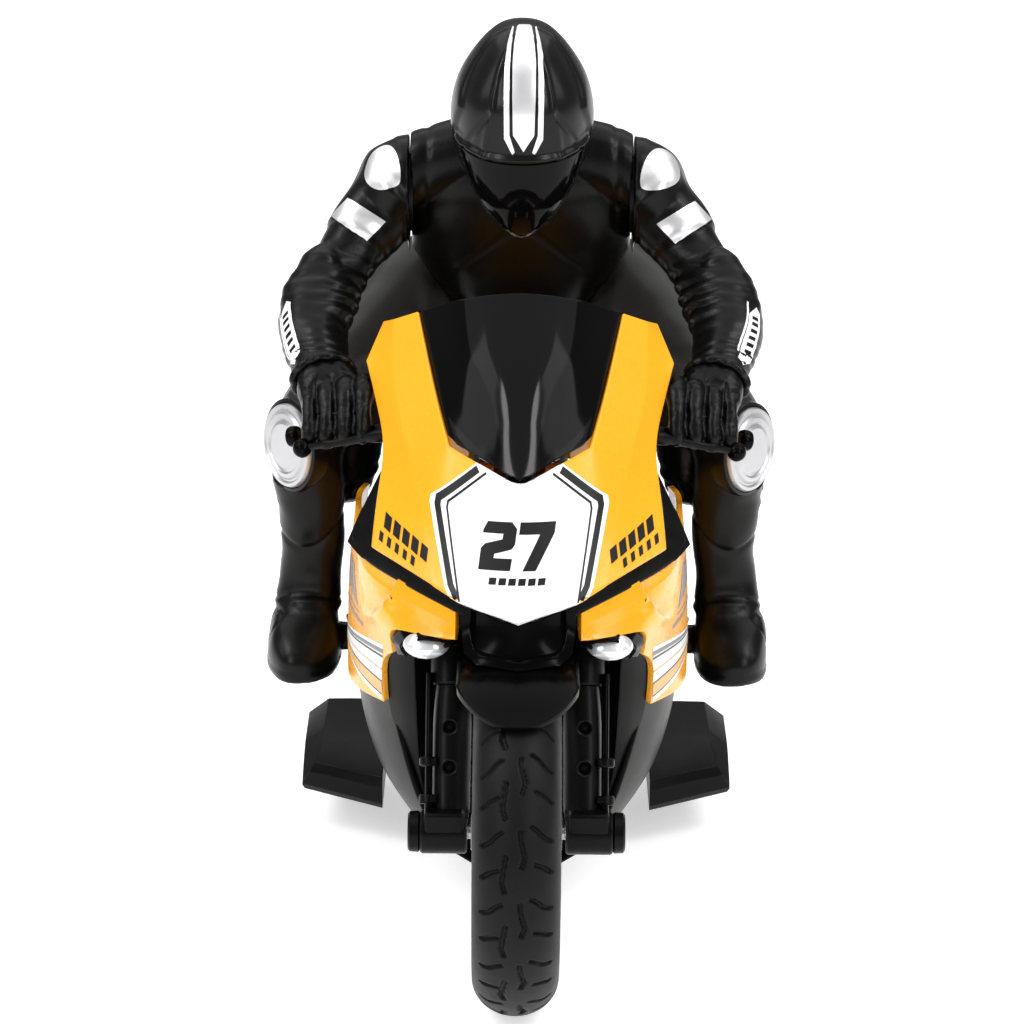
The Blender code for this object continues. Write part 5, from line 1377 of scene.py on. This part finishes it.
def fork(side, word):
    """Lower leg guard with two ringed recesses, axle boss with end cap, clips and the slim guide rod."""
    rows = spline(((2.0, 3.4, 3.9, 13.6), (5.0, 3.9, 4.3, 13.7), (12, 4.0, 4.2, 13.7), (22, 4.0, 4.2, 13.6),
                   (28.5, 3.7, 4.0, 13.5), (31.0, 3.3, 3.6, 13.5), (31.9, 2.6, 3.0, 13.5)), 46)
    rings = [ring(on_fork(side, s, 0.5, x), FORK_UP, w, d, 64, 2.5) for s, w, d, x in rows]
    guard = loft(f"fork_guard_{word}", rings, M["satin"], "fork", f"fork_leg_{word}", slot="black_plastic")
    tools = [rod("recess", on_fork(side, a, -7, 14.0), on_fork(side, a, -2.3, 14.0), 1.45, M["satin"])
             for a in (13.2, 21.6)]
    carve(guard, *tools)
    edge_round(guard, 0.18, 2, 40)
    for n, a in enumerate((13.2, 21.6)):
        turned(f"guard_ring_{word}_{n}", [(0, 1.35), (0, 1.8), (-0.3, 1.85), (-0.42, 1.6), (-0.3, 1.35)],
               on_fork(side, a, -3.6, 14.0), M["satin"], "fork", sides=48, slot="black_plastic",
               axis=FORK_BACK)
        turned(f"guard_pin_{word}_{n}", [(0, 0.02), (0, 0.75), (-0.5, 0.62), (-0.55, 0.02)],
               on_fork(side, a, -2.5, 14.0), M["satin"], "fork", sides=32, slot="black_plastic",
               axis=FORK_BACK)
    boss = [(10.3, 1.8), (10.3, 4.2), (10.7, 4.6), (19.6, 4.6), (20.0, 4.3), (20.0, 1.8)]
    turned(f"axle_boss_{word}", [(side * x, r) for x, r in boss], FRONT_AXLE, M["satin"], "fork", sides=72,
           slot="black_plastic")
    cap = [(20.1, 0.02), (20.1, 4.0), (20.4, 4.3), (22.2, 4.2), (22.6, 3.7), (22.6, 2.0), (22.1, 1.8),
           (22.1, 0.02)]
    nodes = ("front_axle",) if side > 0 else ()
    if nodes:
        rod("front_axle_shaft", FRONT_AXLE - X_AXIS * 15, FRONT_AXLE + X_AXIS * 15, AXLE_RADIUS, M["steel"],
            "fork",
            slot="steel")
    turned(f"axle_cap_{word}", [(side * x, r) for x, r in cap], FRONT_AXLE, M["satin"], "fork", *nodes,
           sides=48,
           slot="black_plastic")
    pad = two_corners(flipped(side, (10.8, -94.4, 39.0)), flipped(side, (19.2, -86.8, 43.6)))
    edge_round(block(f"boss_pad_{word}", *pad, M["satin"], "fork", slot="black_plastic"), 0.7)
    for n, a in enumerate((6.6, 14.4)):
        clip = [(-0.95, 0.82), (-0.95, 1.75), (-0.6, 2.05), (0.6, 2.05), (0.95, 1.75), (0.95, 0.82)]
        turned(f"rod_clip_{word}_{n}", clip, on_fork(side, a, -2.4, 18.3), M["satin"], "fork", sides=48,
               slot="black_plastic", axis=FORK_UP)
        stub = [ring(on_fork(side, a, b, x), X_AXIS * side, 0.9, 1.1, 24, 3, across=FORK_UP)
                for x, b in ((16.6, -1.2), (17.9, -2.2))]
        loft(f"clip_arm_{word}_{n}", stub, M["satin"], "fork", slot="black_plastic")
    rod(f"guide_rod_{word}", on_fork(side, 4.6, -2.4, 18.3), on_fork(side, 33.0, -2.4, 18.3), 0.78,
        M["gloss"], "fork",
        f"fork_rod_{word}", sides=40, round_by=0.2, slot="steel")
    profile = [(30.6, 3.3), (30.6, 3.9), (31.0, 4.2), (38.4, 4.2), (38.7, 4.45), (40.5, 4.45), (40.8, 4.2),
               (58, 4.2),
               (58, 3.3)]
    turned(f"stanchion_{word}", profile, on_fork(side, 0), M["satin"], "fork", sides=80, slot="black_plastic",
           axis=FORK_UP)


def two_corners(a, b):
    a, b = Vector(a), Vector(b)
    return Vector(map(min, a, b)), Vector(map(max, a, b))


def yoke():
    """The clamp across the stanchions with the stem above it."""
    rings = []
    for s in (57.2, 61.0):
        outline = [(-22.0, -4.0), (-20, -4.6), (20, -4.6), (22.0, -4.0), (22.3, 3.2), (8, 10.6), (5, 11.5),
                   (-5, 11.5),
                   (-8, 10.6), (-22.3, 3.2)]
        rings.append([FRONT_AXLE + FORK_UP * s + FORK_BACK * b + X_AXIS * x for x, b in outline])
    edge_round(loft("yoke_clamp", rings, M["satin"], "fork", "fork_yoke", slot="black_plastic"), 0.7, 3, 30)
    rod("yoke_stem", STEER_BASE + FORK_UP * 60.5, STEER_BASE + FORK_UP * 76, 3.0, M["satin"], "fork",
        round_by=0.4,
        sides=48, slot="black_plastic")
    arm_rings = [[STEER_BASE + FORK_UP * s + FORK_BACK * b + X_AXIS * x for x, b in
                  ((-2, -1.5), (2, -1.5), (1.4, 8.0), (-1.4, 8.0))] for s in (73.2, 76)]
    edge_round(loft("magnet_arm", arm_rings, M["satin"], "fork", slot="black_plastic"), 0.4, 3, 30)


def fender():
    """The glossy mudguard: a rounded front lip and a full round crown over the tyre."""
    count, rows = 64, 70
    verts = []
    for r in range(rows):
        for k in range(count):
            u = 2 * k / (count - 1) - 1
            x = 12.6 * math.sin(u * math.radians(84)) / math.sin(math.radians(84))
            start = math.radians(53.5) + math.radians(26) * (1 - math.sqrt(max(0, 1 - min(abs(x) / 12.9,
                                                                                          1) ** 2)))
            a = start + (math.radians(128) - start) * r / (rows - 1)
            flare = 1.0 * math.exp(-r / 2.2)
            radius = 36.4 + 3.5 * math.cos(u * math.radians(76)) + flare * 0.35
            verts.append((x, FRONT_AXLE.y - radius * math.cos(a), FRONT_AXLE.z + radius * math.sin(a)))
    guard = make("fender_shell", verts, grid_faces(rows, count), M["gloss"], "fork", "front_fender",
                 slot="gloss_black_plastic",
                 sharp=None)
    outward(guard, FRONT_AXLE)
    thicken(guard, 1.2)
    edge_round(guard, 0.3, 3, 60)
    for side, word in SIDES:
        tab = [[on_fork(side, s, b, x) for x, b in ((10.9, -3), (12.2, -3), (12.2, 3.5), (10.9, 3.5))]
               for s in (30.8, 37.5)]
        edge_round(loft(f"fender_tab_{word}", tab, M["gloss"], "fork", slot="gloss_black_plastic"), 0.3, 2,
                   30)


def handlebar(side, word):
    """Bar, ribbed grip, end cap, and a lever of stepped thickness with its ball end."""
    at = lambda x: flipped(side, on_grip(x))
    rod(f"bar_{word}", at(12.2), at(47), 1.3, M["satin"], "frame", f"handlebar_{word}", sides=40,
        slot="black_plastic")
    along = (at(40) - at(32)).normalized()
    profile = [(0, 1.2)]
    for k in range(13):
        profile += [(1.25 * k + 0.1, 1.72), (1.25 * k + 0.35, 1.9), (1.25 * k + 0.9, 1.9),
                    (1.25 * k + 1.15, 1.72)]
    profile += [(16.5, 1.2)]
    turned(f"grip_{word}", profile, at(32), M["glove"], "frame", sides=48, slot="black_plastic", axis=along)
    rod(f"bar_end_{word}", at(48.1), at(50.3), 2.3, M["gloss"], "frame", sides=48, round_by=0.6,
        slot="black_plastic")
    root, ball = Vector((29.0, -44.5, 110.6)), Vector((47.0, -38.2, 105.6))
    way = (ball - root).normalized()
    steps = ((0, 1.5), (1.5, 1.6), (3.2, 1.3), (4.2, 1.0), (9, 0.95), (12.5, 0.9), (13.2, 1.15), (14.4, 1.15),
             (15.0, 0.85), (18.6, 0.8))
    rings = [ring(flipped(side, root + way * s), flipped(side, way), r * 1.15, r * 0.9, 32) for s, r in steps]
    loft(f"lever_{word}", rings, M["satin"], "frame", slot="black_plastic")
    ball_rings = [ring(flipped(side, ball) + flipped(side, way) * (-2.1 * math.cos(t)), flipped(side, way),
                       max(2.1 * math.sin(t), 0.02), max(2.1 * math.sin(t), 0.02), 40)
                  for t in np.linspace(0.02, math.pi - 0.02, 24)]
    loft(f"lever_ball_{word}", ball_rings, M["gloss"], "frame", slot="black_plastic")
    rod(f"perch_{word}", at(30.2), flipped(side, root), 1.5, M["satin"], "frame", sides=32,
        slot="black_plastic")


def tank_seat_tail():
    """Tank, seat, tail and lamp."""
    def arch(name, stations, mat, *nodes, slot):
        rows = spline(stations, 60)
        count = 60
        verts = []
        for y, half, edge, crown in rows:
            for k in range(count):
                a = math.pi * k / (count - 1)
                verts.append((half * math.cos(a), y, edge + (crown - edge) * math.sin(a) ** 0.75))
        shell = make(name, verts, grid_faces(len(rows), count), mat, "frame", *nodes, slot=slot, sharp=None)
        outward(shell, (0, 0, 80))
        thicken(shell, 1.4)
        edge_round(shell, 0.3, 2, 60)

    arch("tank_shell", ((-36, 11, 103, 113), (-26, 17, 100, 117.5), (-12, 20, 97, 118.5), (4, 17, 96, 114),
                        (16, 11, 96.5, 105)), M["yellow"], "tank_cover", slot="yellow_plastic")
    def hoops(rows, count, power):
        return [ring((0, y, z), Y_AXIS, w, h, count, power) for y, z, w, h in rows]

    seat = ((18, 95, 8.4, 1.8), (20, 95, 9.6, 2.5), (28, 94.6, 12.5, 2.8), (44, 95, 13, 2.9),
            (55, 97.3, 10.2, 2.9),
            (56, 97.5, 9.4, 2.2))
    loft("seat_pad", hoops(spline(seat, 40), 64, 3), M["glove"], "frame", "seat", slot="black_plastic")
    tail = ((57, 98.0, 10.4, 4.4), (58.5, 98.8, 11.2, 5.2), (66, 103, 12.5, 7.5), (84, 109, 11, 7.5),
            (102, 114.5, 7.5, 5), (111.6, 117.8, 3.8, 2.4), (112, 118, 3.2, 1.9))
    loft("tail_shell", hoops(spline(tail, 70), 80, 2.6), M["yellow"], "frame", "tail_cowl",
         slot="yellow_plastic")
    lens = ((112.4, 117.8, 3.3, 1.9), (113.2, 117.9, 3.4, 2.0), (114.6, 118.1, 3.0, 1.7),
            (115.2, 118.2, 2.3, 1.2),
            (115.4, 118.2, 1.2, 0.6))
    loft("tail_lens", hoops(lens, 48, 3), M["red"], "frame", "tail_light", slot="tail_lens_red")


def side_cover(side, word):
    rows = [((29, -2, 90), (31, -2, 70), (32, -2, 50)), ((27, 12, 91), (29.5, 12, 70), (31, 12, 50)),
            ((20, 28, 91.4), (24.5, 28, 70), (27, 28, 50)), ((15.5, 43, 91.6), (20.5, 40, 72), (23, 38, 56))]
    points, faces = cage([[flipped(side, p) for p in row] for row in rows])
    sheet_mesh(f"frame_cover_{word}", points, faces, False, 1.4, M["satin"], "frame", f"side_cover_{word}",
               slot="black_plastic", corners=((0, 0), (0, 2), (3, 0), (3, 2)))
    rod(f"footpeg_{word}", flipped(side, (28.8, 14, 53)), flipped(side, (39.4, 10, 49)), 2.0, M["satin"],
        "frame",
        round_by=0.5, slot="black_plastic")


def wing(side, word):
    """A stabiliser pod with a chamfered lid and a bracket to the hull."""
    def section(front, slope, low, high, bevel, inner=31.0, outer=49.8):
        shape = [(inner, low), (outer, low + 0.6), (outer + 0.4, high - 3.6), (outer - bevel, high),
                 (outer - bevel - 6, high + 0.1), (inner, high)]
        return [flipped(side, (x, front + slope * (x - inner), z)) for x, z in shape]

    rings = [section(-8.0, 0.58, 10.6, 14.6, 1.4), section(-6.6, 0.56, 9.0, 16.8, 2.6),
             section(4, 0.3, 9.0, 19.4, 3.8),
             section(14, 0.05, 9.0, 21.0, 4.2), section(32, 0, 9.0, 21.8, 4.4),
             section(41, 0, 10.5, 16.0, 3.6)]
    pod = loft(f"wing_pod_{word}", rings, M["satin"], "frame", f"wing_{word}", slot="black_plastic", sharp=25)
    low = flipped(side, (ROLLER_X - 4.0, 18.6, 5))
    high = flipped(side, (ROLLER_X + 4.0, 33.4, 13.6))
    carve(pod, block("well", *two_corners(low, high), M["satin"]))
    edge_round(pod, 0.7, 4, 22)
    block(f"wing_bracket_{word}", *two_corners(flipped(side, (26.8, 8, 13)), flipped(side, (33, 30, 19))),
          M["satin"], "frame", bevel=0.8, slot="black_plastic")


def rear_parts():
    """Swingarm, gear case with its lid and screws, rollers and axle ends."""
    def outline_of(circles, sides=72):
        points = sorted((y + r * math.cos(2 * math.pi * i / sides), z + r * math.sin(2 * math.pi * i / sides))
                        for y, z, r in circles for i in range(sides))

        def half(order):
            chain = []
            for p in order:
                while len(chain) > 1 and ((chain[-1][0] - chain[-2][0]) * (p[1] - chain[-2][1])
                                          - (chain[-1][1] - chain[-2][1]) * (p[0] - chain[-2][0])) <= 1e-6:
                    chain.pop()
                chain.append(p)
            return chain[:-1]

        return half(points) + half(points[::-1])

    def slab(name, outline, low, high, *nodes, bevel=0.5, slot="black_plastic"):
        rings = [[Vector((x, y, z)) for y, z in outline] for x in (low, high)]
        return edge_round(loft(name, rings, M["satin"], "frame", *nodes, slot=slot), bevel, 3, 40)

    tilt = math.radians(12)
    ahead = Vector((0, -math.cos(tilt), math.sin(tilt)))
    idler, motor = REAR_AXLE + ahead * 28.5, REAR_AXLE + ahead * 45.0
    centres = [(c.y, c.z) for c in (REAR_AXLE, idler, motor)]
    outside = outline_of([(y, z, r) for (y, z), r in zip(centres, (18.0, 16.6, 7.4))])
    inside = outline_of([(y, z, r) for (y, z), r in zip(centres, (16.5, 15.1, 6.0))])
    case = loft("gear_housing", [[Vector((x, y, z)) for y, z in outside] for x in (13.5, 18.6)], M["satin"],
                "frame",
                "gear_case", slot="black_plastic")
    cavity = loft("cavity", [[Vector((x, y, z)) for y, z in inside] for x in (14.5, 20)], M["satin"], None)
    carve(case, cavity, rod("hole", REAR_AXLE, REAR_AXLE + X_AXIS * 16, 1.8, M["satin"]),
          rod("hole_1", motor, motor + X_AXIS * 16, 1.5, M["satin"]))
    edge_round(case, 0.3, 2, 40)
    rod("idler_post", idler + X_AXIS * 14, idler + X_AXIS * 18.3, 1.4, M["steel"], "frame",
        slot="black_plastic")
    slab("gear_lid", outside, 18.9, 20.1, "gear_case_cover")
    rim_line = outline_of([(y, z, r) for (y, z), r in zip(centres, (15.0, 13.4, 4.6))])
    slab("gear_lid_boss", rim_line, 19.9, 20.55, bevel=0.3)
    for n, (y, z) in enumerate(((104.2, 48.8), (96.0, 22.4), (60.0, 58.6), (42.5, 52.0), (48.0, 41.8))):
        turned(f"lid_screw_{n}", [(0, 0.5), (0, 1.5), (0.5, 1.35), (0.62, 1.0), (0.2, 0.5)], (20.0, y, z),
               M["steel"],
               "frame", sides=32, slot="steel")
    swing = outline_of([(90, 38, 6.5), (47, 45, 7.0)])
    beam = loft("swingarm_beam", [[Vector((x, y, z)) for y, z in swing] for x in (-19.0, -14.0)], M["satin"],
                "frame",
                "swingarm", slot="black_plastic")
    carve(beam, rod("hole", REAR_AXLE - X_AXIS * 22, REAR_AXLE - X_AXIS * 12, 1.8, M["satin"]))
    edge_round(beam, 0.9, 4, 40)
    groove = outline_of([(84, 39.0, 3.0), (54, 43.8, 3.6)])
    slab("swingarm_rib", groove, -19.7, -18.8, bevel=0.4)
    axle = [(-19.5, 0.02), (-19.5, 1.2), (-19.2, 1.5), (18.0, 1.5), (18.3, 1.2), (18.3, 0.02)]
    turned("rear_axle_bar", axle, REAR_AXLE, M["steel"], "rear_wheel", "rear_axle", sides=48, slot="steel")
    for side, word in SIDES:
        centre = flipped(side, (ROLLER_X, 26, 6))
        profile = [(-3.2, 1.2), (-3.2, 4.7), (-2.9, 5.3), (-2.2, 5.9), (-0.6, 6.0), (-0.4, 5.7), (0.4, 5.7),
                   (0.6, 6.0),
                   (2.2, 5.9), (2.9, 5.3), (3.2, 4.7), (3.2, 1.2)]
        turned(f"roller_tread_{word}", profile, centre, M["rubber"], f"roller_{word}", f"roller_{word}",
               sides=96,
               slot="tyre_rubber")


def main():
    tyre("front_tyre", FRONT_AXLE, 9.0, "front_wheel")
    tyre("rear_tyre", REAR_AXLE, 12.5, "rear_wheel")
    rim("front_rim", FRONT_AXLE, 7.0, 9.5, "front_wheel")
    rim("rear_rim", REAR_AXLE, 10.0, 12.5, "rear_wheel")
    helmet()
    torso()
    for side, word in SIDES:
        arm(side, word)
        leg(side, word)
        fork(side, word)
        handlebar(side, word)
        lamp(side, word)
        side_cover(side, word)
        wing(side, word)
    yoke()
    fender()
    front_fairing()
    windshield()
    inner_cowl()
    side_fairings()
    nose()
    hull_front()
    belly_pan()
    tank_seat_tail()
    rear_parts()


# ---------------------------------------------------------------- stage

CAD_LOOKS = {
    "yellow_plastic": "yellow", "gloss_black_plastic": "gloss", "black_plastic": "satin",
    "suit_black": "suit",
    "silver_paint": "silver", "tyre_rubber": "rubber", "steel": "steel", "smoked_screen": "smoke",
    "tail_lens_red": "red", "gear_nylon": "nylon", "circuit_board_green": "board", "battery_wrap": "cell",
    "copper_winding": "copper",
}


def dress_cad():
    """Gives every CAD node that is still shown its procedural material."""
    slots = {part["node"]: part["material_slot"] for part in frame["record"]["subparts"]}
    for name, obj in frame["nodes"].items():
        for slot in obj.material_slots:
            slot.material = M[CAD_LOOKS[slots[name]]]


def stage():
    """A white floor in even light, with softboxes on both sides and one large one overhead."""
    floor = bpy.data.meshes.new("floor")
    size = 12.0
    floor.from_pydata([(-size, -size, 0), (size, -size, 0), (size, size, 0), (-size, size, 0)], [],
                      [(0, 1, 2, 3)])
    pale = shader("floor_white", (0.93, 0.93, 0.93), 0.6, mottle=0.0, mottle_size=300)
    glow = pale.node_tree.nodes["Principled BSDF"]
    glow.inputs["Emission Color"].default_value = (1, 1, 1, 1)
    glow.inputs["Emission Strength"].default_value = 0.5
    floor.materials.append(pale)
    linked("floor", floor)

    bpy.context.scene.view_settings.view_transform = "Standard"
    world = bpy.data.worlds.new("studio")
    bpy.context.scene.world = world
    world.use_nodes = True
    world.node_tree.nodes["Background"].inputs["Color"].default_value = (1, 1, 1, 1)
    world.node_tree.nodes["Background"].inputs["Strength"].default_value = 0.25

    def softbox(name, at, target, size, energy):
        lamp = bpy.data.lights.new(name, "AREA")
        lamp.shape = "RECTANGLE"
        lamp.size, lamp.size_y = size
        lamp.energy = energy
        obj = linked(name, lamp)
        obj.location = at
        obj.rotation_euler = (Vector(target) - Vector(at)).to_track_quat("-Z", "Y").to_euler()

    for side, word in SIDES:
        softbox(f"key_{word}", (side * 1.0, -1.3, 0.9), (0, 0, 0.1), (0.3, 0.9), 8)
        softbox(f"side_{word}", (side * 1.3, -0.1, 1.1), (0, 0, 0.08), (0.4, 1.3), 5)
        softbox(f"over_{word}", (side * 0.85, -0.40, 1.2), (0, -0.04, 0.13), (0.13, 0.6), 5)
    softbox("top", (0, 0.9, 2.5), (0, 0.8, 0), (4.6, 4.6), 78)


def camera():
    """A little above the bike and square to its front."""
    forward = Vector((0, math.cos(CAMERA_DOWN), -math.sin(CAMERA_DOWN)))
    lift = Vector((0, math.sin(CAMERA_DOWN), math.cos(CAMERA_DOWN)))
    right = X_AXIS * math.cos(CAMERA_ROLL) + lift * math.sin(CAMERA_ROLL)
    up = right.cross(forward)
    data = bpy.data.cameras.new("camera")
    data.lens = CAMERA_LENS
    data.sensor_width = 36.0
    obj = linked("camera", data)
    rows = [(right[i], up[i], -forward[i], CAMERA_PLACE[i]) for i in range(3)]
    obj.matrix_world = Matrix((*rows, (0, 0, 0, 1)))
    bpy.context.scene.camera = obj


camera()
stage()
main()
dress_cad()
